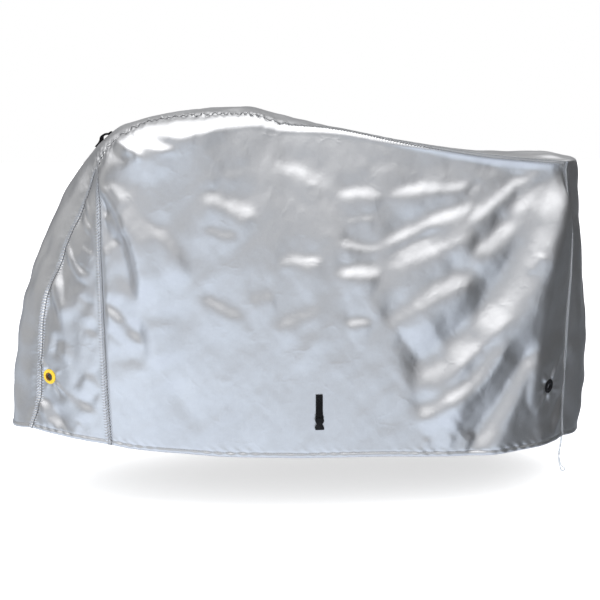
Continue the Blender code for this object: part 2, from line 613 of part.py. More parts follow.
def webbing_strap(name, centre, normal, material, collection):
    """Webbing sewn to the cloth, doubled round the buckle's bar and back up."""
    back = CLOTH / 2 + GAP
    front = back + 2 * STRAP_LAYER
    middle = BUCKLE_LIFT
    hole = BAR_DEPTH / 2 + GAP
    skin = hole + STRAP_LAYER
    bar_top = -STRAP_LENGTH
    hole_top, hole_foot = bar_top + GAP, bar_top - BAR_HEIGHT - GAP
    foot = hole_foot - STRAP_LAYER
    turn = foot + skin / 2
    split = bar_top + STRAP_SPLIT
    outer = [
        (back, 0.0), (back, split + STRAP_SPREAD), (middle - skin, bar_top),
        (middle - skin, turn), (middle - skin + STRAP_ROUND, foot), (middle + skin - STRAP_ROUND, foot),
        (middle + skin, turn), (middle + skin, bar_top), (front, split + STRAP_SPREAD), (front, 0.0),
    ]
    inner = [
        (back + 1.35 * STRAP_LAYER, split), (middle - hole, hole_top + STRAP_ROUND),
        (middle - hole, hole_foot), (middle + hole, hole_foot),
        (middle + hole, hole_top), (back + 1.9 * STRAP_LAYER, split),
    ]
    obj = outline_solid(name, [outer, inner], STRAP_WIDTH, material, collection)
    obj.matrix_world = edge_on(centre, normal, STRAP_FLAT_DROP)
    return obj


def both_sides(half_outline):
    """A closed outline from its right half, given as depth below the bar and half width."""
    right = [(half, -depth) for depth, half in half_outline]
    return right + [(-x, y) for x, y in reversed(right)]


def slot_outline():
    return [
        (SLOT_HALF, -BAR_HEIGHT), (SLOT_HALF, -BAR_HEIGHT - SLOT_HEIGHT),
        (-SLOT_HALF, -BAR_HEIGHT - SLOT_HEIGHT), (-SLOT_HALF, -BAR_HEIGHT),
    ]


def as_mesh(obj):
    """Replace a curve object by the closed mesh that it makes."""
    bpy.context.view_layer.update()
    graph = bpy.context.evaluated_depsgraph_get()
    mesh = bpy.data.meshes.new_from_object(obj.evaluated_get(graph))
    bm = bmesh.new()
    bm.from_mesh(mesh)
    bmesh.ops.remove_doubles(bm, verts=bm.verts, dist=0.00001)
    bm.to_mesh(mesh)
    bm.free()
    name, matrix = obj.name, obj.matrix_world.copy()
    collections, curve = list(obj.users_collection), obj.data
    bpy.data.objects.remove(obj)
    bpy.data.curves.remove(curve)
    made = bpy.data.objects.new(name, mesh)
    made.matrix_world = matrix
    for collection in collections:
        collection.objects.link(made)
    return made


def boolean(obj, cutter, operation):
    change = obj.modifiers.new(operation.lower(), "BOOLEAN")
    change.operation = operation
    change.object = cutter
    cutter.hide_render = True
    cutter.display_type = "WIRE"


def buckle_place(centre, normal):
    """Placing matrix of a buckle half: origin at the top of its bar."""
    matrix = frame_on(centre, normal, BUCKLE_LIFT)
    matrix.translation += matrix.col[1].to_3d() * (STRAP_FLAT_DROP - STRAP_LENGTH)
    return matrix


def socket_half(name, centre, normal, material, collection, cutters):
    """Female half: a thin frame with the webbing's slot, and a hollow body below it."""
    place = buckle_place(centre, normal)
    frame = both_sides(SOCKET_FRAME)
    body = outline_solid(name, [both_sides(SOCKET_BODY)], BUCKLE_DEPTH, material, collection)
    bar = outline_solid(name + "_bar", [frame, slot_outline()], BAR_DEPTH, material, cutters)
    body.matrix_world = bar.matrix_world = place
    body, bar = as_mesh(body), as_mesh(bar)

    mesh = bpy.data.meshes.new(name + "_mouth")
    bm = bmesh.new()
    bmesh.ops.create_cube(bm, size=1.0)
    length = BUCKLE_LENGTH - MOUTH_TOP + MOUTH_RUN_OUT
    bmesh.ops.scale(bm, vec=(2 * MOUTH_HALF, length, MOUTH_DEPTH), verts=bm.verts)
    bmesh.ops.translate(bm, vec=(0, -MOUTH_TOP - length / 2, 0), verts=bm.verts)
    bm.to_mesh(mesh)
    bm.free()
    mouth = bpy.data.objects.new(mesh.name, mesh)
    mouth.matrix_world = place
    cutters.objects.link(mouth)
    boolean(body, bar, "UNION")
    boolean(body, mouth, "DIFFERENCE")
    return body


def plug_half(name, centre, normal, material, collection):
    """Male half: a frame with the webbing's slot, a tongue and two prongs."""
    obj = outline_solid(name, [both_sides(PLUG_BODY), slot_outline()], BAR_DEPTH, material, collection)
    obj.matrix_world = buckle_place(centre, normal)
    return obj


def grab_loop(name, strip, material, collection):
    """Webbing loop that stands off the strip's middle line, seen along +Y."""
    line = strip[:, STRIP_COLUMNS // 2][:, [0, 2]]
    length = np.concatenate([[0], np.cumsum(np.linalg.norm(np.diff(line, axis=0), axis=1))])
    fine = np.linspace(0, length[-1] / 2, 1000)
    spots = np.stack([np.interp(fine, length, line[:, k]) for k in (0, 1)], axis=-1)
    start = fine[np.argmin(np.linalg.norm(spots - LOOP_START, axis=1))]
    low, high = [], []
    for _, along, clearance, thickness in LOOP:
        at = start + along
        point = np.array([np.interp(at, length, line[:, k]) for k in (0, 1)])
        before = np.array([np.interp(at - LOOP_REACH, length, line[:, k]) for k in (0, 1)])
        after = np.array([np.interp(at + LOOP_REACH, length, line[:, k]) for k in (0, 1)])
        run = (after - before) / np.linalg.norm(after - before)
        out = np.array([-run[1], run[0]])
        seat = CLOTH / 2 + LOOP_SEAT + clearance
        low.append(tuple(point + out * seat))
        high.append(tuple(point + out * (seat + thickness)))
    obj = outline_solid(name, [low + high[::-1]], LOOP_WIDTH, material, collection)
    obj.matrix_world = Matrix.Rotation(math.pi / 2, 4, "X")
    return obj


def cord_route():
    """Points of the doubled draw cord: down one strand, round the eye and up the other."""
    rows = {name: column(CORD, CORD_HEADER, name) for name in CORD_HEADER[1:]}
    middle = np.stack([rows["x"], rows["y"], rows["z"]], axis=-1)
    steps = np.linalg.norm(np.diff(middle, axis=0), axis=1)
    knots = np.concatenate([[0], np.cumsum(steps)])
    at = np.linspace(0, knots[-1], CORD_STEPS)
    path = np.stack([smooth(knots, middle[:, k], at) for k in range(3)], axis=-1)
    apart = smooth(knots, rows["half_apart"], at)
    turned = np.radians(smooth(knots, rows["turned_deg"], at))
    run = np.gradient(path, axis=0)
    run /= np.linalg.norm(run, axis=1, keepdims=True)
    aside = np.cross(run, [0.0, -1.0, 0.0])
    aside /= np.linalg.norm(aside, axis=1, keepdims=True)
    over = np.cross(run, aside)
    offset = (aside * np.cos(turned)[:, None] + over * np.sin(turned)[:, None]) * apart[:, None]
    angles = np.linspace(0, math.pi, CORD_TURN_STEPS + 2)[1:-1]
    eye = [path[-1] + offset[-1] * math.cos(a) + run[-1] * apart[-1] * math.sin(a) for a in angles]
    return np.concatenate([path + offset, eye, (path - offset)[::-1]])


def draw_cord(name, material, collection):
    curve = bpy.data.curves.new(name, "CURVE")
    curve.dimensions = "3D"
    curve.bevel_depth = CORD_DIAMETER / 2
    curve.bevel_resolution = 2
    curve.use_fill_caps = True
    route = cord_route()
    spline = curve.splines.new("POLY")
    spline.points.add(len(route) - 1)
    for point, place in zip(spline.points, route):
        point.co = (*place, 1)
    return add_object(name, curve, material, collection)


def main():
    clear_scene()
    cover = new_collection("bicycle_cover")
    cutters = new_collection("cutters")
    cutters.hide_render = True
    cloth = plain_material("silver_cloth", (0.55, 0.58, 0.61), 0.38, 0.6)
    black = plain_material("black_webbing", (0.012, 0.012, 0.014), 0.75)
    plastic = plain_material("black_plastic", (0.010, 0.010, 0.011), 0.35)
    yellow = plain_material("yellow_plastic", (0.85, 0.58, 0.02), 0.35)
    cord = plain_material("cord_white", (0.62, 0.66, 0.70), 0.7)

    strip = strip_surface()
    side_base, front_base = side_surface(), front_surface()
    strap_patch = (STRAP_PLACE[0], STRAP_PLACE[1] - STRAP_FLAT_DROP)
    for tag, side, folds, edge in (("near", NEAR, NEAR_FOLDS, 0), ("far", FAR, FAR_FOLDS, -1)):
        panel = hung(side_base, side, folds)
        front = hung(front_base, side, FRONT_FOLDS)
        front_eye = flatten(front, FRONT_EYELET, EYELET_FLAT)
        rear_eye = flatten(panel, REAR_EYELET, EYELET_FLAT)
        strap_spot = flatten(panel, strap_patch, STRAP_FLAT)
        part_at_seams(strip, front, panel, edge)

        panel_obj = cloth_panel("side_" + tag, panel, cloth, cover)
        front_obj = cloth_panel("front_" + tag, front, cloth, cover)
        cut_hole(panel_obj, *rear_eye, cutters)
        cut_hole(front_obj, *front_eye, cutters)
        eyelet("eyelet_front_" + tag, *front_eye, yellow, cover)
        eyelet("eyelet_rear_" + tag, *rear_eye, plastic, cover)
        webbing_strap("strap_" + tag, *strap_spot, black, cover)
        if side == NEAR:
            socket_half("buckle_socket", *strap_spot, plastic, cover, cutters)
        else:
            plug_half("buckle_plug", *strap_spot, plastic, cover)
    cloth_panel("gusset", strip, cloth, cover)
    grab_loop("front_loop", strip, black, cover)
    draw_cord("draw_cord", cord, cover)


main()
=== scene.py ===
# %% [markdown]
# # A bicycle cover of silver coated cloth
# The cover hangs over a bicycle that is left out, so it is hollow and open at the
# bottom.  It is sewn from two sides, two small front pieces and one long strip that
# runs from the front hem over the top to the rear hem.  Each cell below makes one
# piece or one finish, in metres: +X is the rear, +Y the far side and +Z is up.

# %% Load the solids
import math

import bpy
import numpy as np
from mathutils import Matrix, Vector


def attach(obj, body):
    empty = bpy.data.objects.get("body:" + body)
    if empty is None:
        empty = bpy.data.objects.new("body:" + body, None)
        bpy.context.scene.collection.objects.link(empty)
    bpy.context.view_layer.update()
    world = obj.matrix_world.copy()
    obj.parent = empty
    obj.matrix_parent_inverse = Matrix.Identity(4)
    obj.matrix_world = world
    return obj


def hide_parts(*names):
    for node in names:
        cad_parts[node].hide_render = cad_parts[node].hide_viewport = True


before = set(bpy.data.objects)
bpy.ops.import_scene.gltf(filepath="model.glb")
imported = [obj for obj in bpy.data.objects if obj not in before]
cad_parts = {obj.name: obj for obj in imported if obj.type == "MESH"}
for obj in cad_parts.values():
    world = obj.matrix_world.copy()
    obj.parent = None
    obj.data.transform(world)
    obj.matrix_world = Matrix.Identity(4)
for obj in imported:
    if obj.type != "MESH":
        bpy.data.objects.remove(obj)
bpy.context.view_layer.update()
print("solids:", sorted(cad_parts))

# %% [markdown]
# ## Camera
# A camera is an object like any other.  Its matrix holds three directions as columns:
# to the right, up, and backwards, away from what it looks at.  A lens of 48 mm on a
# 36 mm sensor sees about 41 degrees.  The camera stands a little in front of the
# cover's middle, at the height of its crown, and looks 13.5 degrees down.

# %% Place the camera
CAMERA_PLACE = Vector((-0.0353, -2.3335, -0.0028))
CAMERA_DOWN, CAMERA_TURN = math.radians(13.496), math.radians(4.69)
LENS, SENSOR = 48, 36

heading = Vector((math.sin(CAMERA_TURN), math.cos(CAMERA_TURN), 0))
sideways = Vector((math.cos(CAMERA_TURN), -math.sin(CAMERA_TURN), 0))
forwards = heading * math.cos(CAMERA_DOWN) - Vector((0, 0, math.sin(CAMERA_DOWN)))
camera_matrix = Matrix((sideways, sideways.cross(forwards), -forwards)).transposed().to_4x4()
camera_matrix.translation = CAMERA_PLACE
bpy.ops.object.camera_add()
camera = bpy.context.object
camera.name = "camera"
camera.matrix_world = camera_matrix
camera.data.lens, camera.data.sensor_width = LENS, SENSOR
bpy.context.scene.camera = camera
print("camera at", tuple(round(v, 3) for v in camera.location))

# %% [markdown]
# ## Smooth curves through short tables
# Every shape here starts from a short table.  A row is a name and some numbers: mostly
# whole millimetres or tenths of one, and metres for the cord.  A curve that passes
# through the rows without swinging past them is a monotone cubic: its slope is zero at
# each high or low point.  The same few helpers serve the cloth and the cord.

# %% Helpers for tables and curves
MM, TENTHS = 1000, 10000


def table(header, text, scale=MM):
    """Columns of a table by name; each number is divided by the scale."""
    rows = [line.split()[1:] for line in text.strip().splitlines()]
    return {name: np.array([float(row[k]) / scale for row in rows])
            for k, name in enumerate(header.split())}


def pairs(text, scale=MM):
    """Pairs of numbers that are written as 12,34."""
    return [tuple(int(number) / scale for number in pair.split(",")) for pair in text.split()]


def hermite(values, slopes, k, h, t):
    """A cubic over a step of length h, from the values and slopes at both its ends."""
    return ((2 * t**3 - 3 * t**2 + 1) * values[k] + (t**3 - 2 * t**2 + t) * h * slopes[k]
            + (3 * t**2 - 2 * t**3) * values[k + 1] + (t**3 - t**2) * h * slopes[k + 1])


def smooth(knots, values, at):
    """Value of a smooth curve through the knots, without overshoot."""
    knots, values = np.asarray(knots, float), np.asarray(values, float)
    steps = np.diff(knots)
    slopes = np.diff(values) / steps
    inner = [0.0 if a * b <= 0 else 2 * a * b / (a + b) for a, b in zip(slopes[:-1], slopes[1:])]
    ends = np.array([slopes[0], *inner, slopes[-1]])
    at = np.clip(at, knots[0], knots[-1])
    k = np.clip(np.searchsorted(knots, at, side="right") - 1, 0, len(steps) - 1)
    return hermite(values, ends, k, steps[k], (at - knots[k]) / steps[k])


def ease(t):
    """0 to 1 with flat ends."""
    t = np.clip(t, 0.0, 1.0)
    return t * t * (3 - 2 * t)


def graded(*spans):
    """Fractions along a line whose stretches each end at a length and have a step."""
    marks = [0.0]
    for end, step in spans:
        start = marks[-1]
        count = max(1, round((end - start) / step))
        marks += list(np.linspace(start, end, count + 1)[1:])
    return np.array(marks) / marks[-1]


def unit(vectors, least=0.0):
    """Vectors of length one."""
    return vectors / (np.linalg.norm(vectors, axis=-1, keepdims=True) + least)


def running(points, axis=0):
    """Length along a line, or along the lines of a grid, from the first points."""
    steps = np.linalg.norm(np.diff(points, axis=axis), axis=-1)
    start = np.zeros_like(np.take(steps, [0], axis=axis))
    return np.concatenate([start, np.cumsum(steps, axis=axis)], axis=axis)


def whole_length(line):
    """Length of a line from its first point to its last."""
    return float(np.sum(np.linalg.norm(np.diff(line, axis=0), axis=1)))


def along(line, length, at):
    """Points of a line at running lengths."""
    return np.stack([np.interp(at, length, values) for values in line.T], axis=-1)


print("steps of a graded line:", len(graded((0.1, 0.01), (1.0, 0.1))) - 1)

# %% [markdown]
# ## Helpers for pieces
# An operator acts on all that is selected, so only the piece at hand is selected
# first.  A modifier is set, and applied at once.  Each piece ends by being put on the
# body that it rides on, and the solid that it stands for is hidden.

# %% Select, round and hand over
def select_only(*objs):
    """Select these objects and no others."""
    bpy.ops.object.select_all(action="DESELECT")
    for obj in objs:
        obj.select_set(True)
        bpy.context.view_layer.objects.active = obj


def add_object(name, data):
    """A new object, selected."""
    obj = bpy.data.objects.new(name, data)
    bpy.context.scene.collection.objects.link(obj)
    select_only(obj)
    return obj


def modify(obj, kind, **settings):
    """Give a piece a modifier with its settings, and apply it."""
    change = obj.modifiers.new(kind, kind)
    for key, value in settings.items():
        setattr(change, key, value)
    select_only(obj)
    bpy.ops.object.modifier_apply(modifier=change.name)


def round_edges(obj, width, segments, sharper, smooth_below):
    """Bevel the edges sharper than an angle, and shade the flatter ones smooth."""
    modify(obj, "BEVEL", width=width, segments=segments, limit_method="ANGLE",
           angle_limit=math.radians(sharper))
    bpy.ops.object.shade_smooth_by_angle(angle=math.radians(smooth_below))


def settle(obj, matrix=None):
    """Put an object's place into its mesh, so that the object sits at the origin."""
    obj.data.transform((matrix or Matrix()) @ obj.matrix_world)
    obj.matrix_world = Matrix()
    obj.data.update()


def hand_over(obj, solid=None):
    """Put a piece on the body it rides on, and hide the solid it stands for."""
    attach(obj, "root")
    if solid:
        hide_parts(solid)
    print(obj.name, "faces", len(obj.data.polygons))


# %% [markdown]
# ## Draw cord
# A thin white cord runs inside the hem and hangs doubled out of the rear corner, with
# a small eye where it turns back.  It is one cord, so it is one open curve: down one
# strand, round the eye and up the other, with the two strands twisted once.

# %% Make the draw cord
CORD_DIAMETER, CORD_STEPS, EYE_STEPS = 0.0028, 60, 13
CORD = table("x y z half_apart turned_deg", """
hem         0.9570 -0.1060 -0.9862 0.0018   0
below_hem   0.9567 -0.1055 -0.9970 0.0017   0
twist_start 0.9556 -0.1050 -1.0166 0.0017  60
twist       0.9540 -0.1050 -1.0350 0.0017 170
twist_end   0.9537 -0.1050 -1.0520 0.0017 290
neck        0.9565 -0.1050 -1.0700 0.0017 350
eye_start   0.9612 -0.1050 -1.0840 0.0020 360
eye_mid     0.9660 -0.1050 -1.0920 0.0046 360
eye_end     0.9700 -0.1050 -1.0975 0.0060 360
""", scale=1)


def cord_route():
    """Points of the doubled cord."""
    middle = np.stack([CORD["x"], CORD["y"], CORD["z"]], axis=-1)
    knots = running(middle)
    at = np.linspace(0, knots[-1], CORD_STEPS)
    path = np.stack([smooth(knots, values, at) for values in middle.T], axis=-1)
    apart = smooth(knots, CORD["half_apart"], at)
    turned = np.radians(smooth(knots, CORD["turned_deg"], at))
    run = unit(np.gradient(path, axis=0))
    aside = unit(np.cross(run, [0.0, -1.0, 0.0]))
    over = np.cross(run, aside)
    offset = (aside * np.cos(turned)[:, None] + over * np.sin(turned)[:, None]) * apart[:, None]
    angles = np.linspace(0, math.pi, EYE_STEPS + 2)[1:-1]
    eye = [path[-1] + offset[-1] * math.cos(a) + run[-1] * apart[-1] * math.sin(a) for a in angles]
    return np.concatenate([path + offset, eye, (path - offset)[::-1]])


cord_points = cord_route()
cord_curve = bpy.data.curves.new("draw_cord_braid", "CURVE")
cord_curve.dimensions = "3D"
cord_curve.bevel_depth = CORD_DIAMETER / 2
cord_curve.bevel_resolution = 4
cord_curve.use_fill_caps = True
cord_spline = cord_curve.splines.new("POLY")
cord_spline.points.add(len(cord_points) - 1)
for spot, place in zip(cord_spline.points, cord_points):
    spot.co = (*place, 1)
add_object("draw_cord_braid", cord_curve)
bpy.ops.object.convert(target="MESH")
bpy.ops.object.shade_smooth_by_angle(angle=math.radians(50))
draw_cord = bpy.context.object
hand_over(draw_cord, "draw_cord")

# %% [markdown]
# ## The cover's cut
# The strip is a row of sections, each a bow between two seams.  The sides and front
# pieces are stretched between those seams and the hem.  A table gives how far a side
# stands out: the handlebar pushes it out near the front, and it flares to the hem
# like a tent.  The same tables made the solids, so the fine cloth lies on them.

# %% Tables of the cut
STRIP = table("seam_x seam_z half_width mid_x mid_z", """
front_hem     -636 -897 120 -711  -921
front_foot    -606 -810 118 -701  -820
front_wheel   -595 -700 115 -684  -700
front_fork    -586 -600 112 -660  -590
front_bend    -570 -518 110 -637  -505
front_stem    -532 -445 110 -607  -425
front_basket  -498 -360 112 -570  -345
brow_low      -456 -280 116 -528  -262
brow          -424 -215 122 -482  -187
apex          -403 -164 130 -436  -130
brow_top      -372 -110 138 -396   -89
crown_front   -325  -73 144 -335   -48
handlebar     -255  -37 147 -258   -25
crown_rise    -130  -21 147 -130    -6
crown            0  -19 147    0     1
crown_back     100  -43 147  100   -21
slope_top      225  -54 147  225   -51
slope          440  -94 147  440   -93
saddle         660 -127 146  660  -126
rear_deck      775 -138 142  790  -128
rear_rack_top  835 -143 136  872  -127
rear_edge      876 -145 128  936  -139
rear_corner    894 -150 124  972  -149
rear_turn      897 -175 120  981  -185
rear_high      915 -262 112  986  -262
rear_rack      938 -375 108 1003  -370
rear_hub       943 -500 106 1024  -500
rear_wheel     944 -640 105 1046  -640
rear_foot      947 -790 105 1056  -790
rear_low       949 -900 105 1054  -900
rear_hem       957 -985 105 1044 -1000
""")
APEX_ROW, REAR_CORNER_ROW = 9, 22
APEX_LENGTH = 0.012
UPRIGHT = table("x z half_width", """
shoulder -397 -200 166
upper    -398 -330 189
middle   -400 -520 201
lower    -403 -740 209
hem      -400 -917 215
""")
HEM = table("along x z", """
upright_seam    0 -400 -917
front          65 -312 -930
front_hub     150 -199 -936
pedal         255  -60 -944
strap         400  134 -947
middle        565  357 -951
rear          670  500 -958
rear_hub      780  650 -966
rear_turn     895  813 -970
rear_side     955  900 -975
rear_seam    1000  957 -985
""")
SPREAD = table("along shoulder_drop shoulder middle hem", """
upright_seam    0 40 160 201 215
brow           45 60 195 218 226
bar_end       100 85 235 238 240
grip          150 95 253 246 250
grip_back     215 60 238 250 262
crown         310 42 200 248 274
frame         430 24 172 242 285
saddle        640 17 163 228 282
rack_front    800 13 156 208 258
rack          910 12 148 182 213
rear_bend     965 20 138 149 160
rear_seam    1000 40 118 106 105
""")
print("sections of the strip:", len(STRIP["seam_x"]))

# %% [markdown]
# ## A fine grid on the same surface
# Cloth needs many small faces where it wrinkles and few where it hangs smooth.  The
# grid lines are therefore graded: close together on the gathered crown, at the seams,
# at the eyelets and at the hem, and wider apart between them.  Over the shoulder the
# rows of a side turn through a quarter circle, from the seam to the hanging part.

# %% Grid lines of the panels
CLOTH, SHOULDER_ROWS = 0.0012, 16
ALONG = graded((0.016, 0.004), (0.50, 0.0043), (1.17, 0.0068), (1.344, 0.0044), (1.36, 0.004))
BELOW = graded((0.54, 0.0062), (0.775, 0.0048), (0.80, 0.0031))[1:]
FRONT_ACROSS = graded((0.012, 0.0032), (0.19, 0.0032), (0.20, 0.0032))
STRIP_ACROSS = 2 * graded((0.030, 0.0050), (0.26, 0.0115), (0.29, 0.0050)) - 1
FRONT_FULLNESS, FULL_BY = 0.010, 0.3
INSIDE = np.array([0.15, 0.0, -0.50])
TURN = np.linspace(0, math.pi / 2, SHOULDER_ROWS + 1)

seam_steps = np.hypot(np.diff(STRIP["seam_x"]), np.diff(STRIP["seam_z"]))
KNOTS = np.concatenate([[0], np.cumsum(seam_steps)])
APEX_FRONT, REAR_CORNER, STRIP_END = KNOTS[APEX_ROW], KNOTS[REAR_CORNER_ROW], KNOTS[-1]
APEX_BACK = APEX_FRONT + APEX_LENGTH


def strip_section(at):
    """Seam point, half width and middle point of the strip at running lengths."""
    return [smooth(KNOTS, values, at) for values in STRIP.values()]


def seam_between(start, stop, fractions):
    """Running lengths that share out the seam between two running lengths."""
    fine = np.linspace(start, stop, 400)
    x, z, half, _, _ = strip_section(fine)
    steps = np.sqrt(np.diff(x)**2 + np.diff(z)**2 + np.diff(half)**2)
    length = np.concatenate([[0], np.cumsum(steps)])
    return np.interp(np.asarray(fractions) * length[-1], length, fine)


def on_grid(columns, name):
    """A column of a side's table at the side's grid lines."""
    return smooth(columns["along"], columns[name], ALONG)


def row_fractions():
    """Fraction of a side's height at each row, for each of its columns."""
    _, z, _, _, _ = strip_section(seam_between(APEX_BACK, REAR_CORNER, ALONG))
    drop = on_grid(SPREAD, "shoulder_drop") / (z - on_grid(HEM, "z"))
    shoulder = np.outer(1 - np.cos(TURN), drop)
    return np.vstack([shoulder, drop + np.outer(BELOW, 1 - drop)])


ROWS = row_fractions()
print("grid of a side:", SHOULDER_ROWS + len(BELOW), "by", len(ALONG) - 1)

# %% Surfaces of the panels before folds
def upright_seam(fractions):
    """Points x, z and half width of the upright seam at fractions of its height."""
    top = strip_section(APEX_BACK)[:3]
    lines = [np.append(start, UPRIGHT[name]) for start, name in zip(top, UPRIGHT)]
    depth = lines[1]
    knots = (depth[0] - depth) / (depth[0] - depth[-1])
    return [smooth(knots, values, fractions) for values in lines]


def side_surface():
    """Middle surface of a side as x, half width and z on a grid of rows and columns."""
    v = ROWS
    u = np.broadcast_to(ALONG, v.shape)
    top_x, top_z, top_half, _, _ = strip_section(seam_between(APEX_BACK, REAR_CORNER, ALONG))
    rear = strip_section(seam_between(REAR_CORNER, STRIP_END, v))
    front = upright_seam(v)
    grid = []
    for name, top, left, right in (("x", top_x, front[0], rear[0]), ("z", top_z, front[1], rear[1])):
        hem = on_grid(HEM, name)
        corners = ((1 - u) * (1 - v) * top[0] + u * (1 - v) * top[-1]
                   + (1 - u) * v * hem[0] + u * v * hem[-1])
        grid.append((1 - v) * top + v * hem + (1 - u) * left + u * right - corners)
    levels = np.stack([on_grid(SPREAD, name) for name in ("shoulder", "middle", "hem")])
    rounded = top_half + np.outer(np.sin(TURN), levels[0] - top_half)
    hanging = np.stack([smooth([0, 0.45, 1], level, BELOW) for level in levels.T], axis=1)
    half = np.vstack([rounded, hanging])
    at_front = 1 - ease(ALONG / 0.10)
    at_rear = ease((ALONG - 0.90) / 0.10)
    half += at_front * (front[2][:, :1] - half[:, :1]) + at_rear * (rear[2][:, -1:] - half[:, -1:])
    return grid[0], half, grid[1]


def front_surface():
    """Middle surface of a front piece, from the strip's seam to the upright seam."""
    v, across = ROWS[:, 0], FRONT_ACROSS
    strip_edge = strip_section(seam_between(APEX_FRONT, 0.0, v))[:3]
    x, z, half = (np.outer(front, 1 - across) + np.outer(back, across)
                  for front, back in zip(strip_edge, upright_seam(v)))
    return x, half + FRONT_FULLNESS * np.outer(ease(v / FULL_BY), 4 * across * (1 - across)), z


def strip_surface():
    """Middle surface of the strip, and its running lengths."""
    run = np.concatenate([seam_between(APEX_FRONT, 0.0, ROWS[:, 0])[::-1],
                          seam_between(APEX_BACK, REAR_CORNER, ALONG),
                          seam_between(REAR_CORNER, STRIP_END, ROWS[:, -1])[1:]])
    seam_x, seam_z, half, mid_x, mid_z = strip_section(run)
    bow = 1 - STRIP_ACROSS**2
    x = seam_x[:, None] + np.outer(mid_x - seam_x, bow)
    z = seam_z[:, None] + np.outer(mid_z - seam_z, bow)
    return np.stack([x, np.outer(half, STRIP_ACROSS), z], axis=-1), run


def vertex_normals(points):
    """Outward unit normals at the points of a grid."""
    faces = unit(np.cross(points[1:, 1:] - points[:-1, :-1], points[1:, :-1] - points[:-1, 1:]), 1e-12)
    total = np.zeros_like(points)
    for rows in (slice(None, -1), slice(1, None)):
        for columns in (slice(None, -1), slice(1, None)):
            total[rows, columns] += faces
    total = unit(total, 1e-12)
    return total if np.sum(total * (points - INSIDE)) > 0 else -total


def to_points(surface, side):
    """A grid of points on one side, -1 near and 1 far, from x, half width and z."""
    x, half, z = surface
    return np.stack([x, side * half, z], axis=-1)


side_base, front_base = side_surface(), front_surface()
strip_base, strip_run = strip_surface()
print("side is", [round(float(np.ptp(grid)), 3) for grid in side_base], "m in x, y and z")

# %% [markdown]
# ## Folds placed one by one
# A fold is a line on the cloth.  A "crest" is a soft ridge along it, or a valley where
# its height is below zero.  A "face" is a slanting flank: the cloth steps outward
# across the line, so that it faces the left of the line as one goes along it.  Each
# row gives the kind, the half width in millimetres, the height in tenths of one, and
# the points x,z that the line passes through, seen square on.  On the strip they are
# the length along it and the place across it.  Thin cloth pulled from a corner makes
# long slanting faces, and slack cloth makes short soft ones.

# %% Table of folds
def fold_table(text):
    """Kind, half width, height and points of each fold."""
    rows = [line.split() for line in text.strip().splitlines()]
    return [(kind, int(half) / MM, int(height) / TENTHS, np.array(pairs(" ".join(points))))
            for _, kind, half, height, *points in rows]


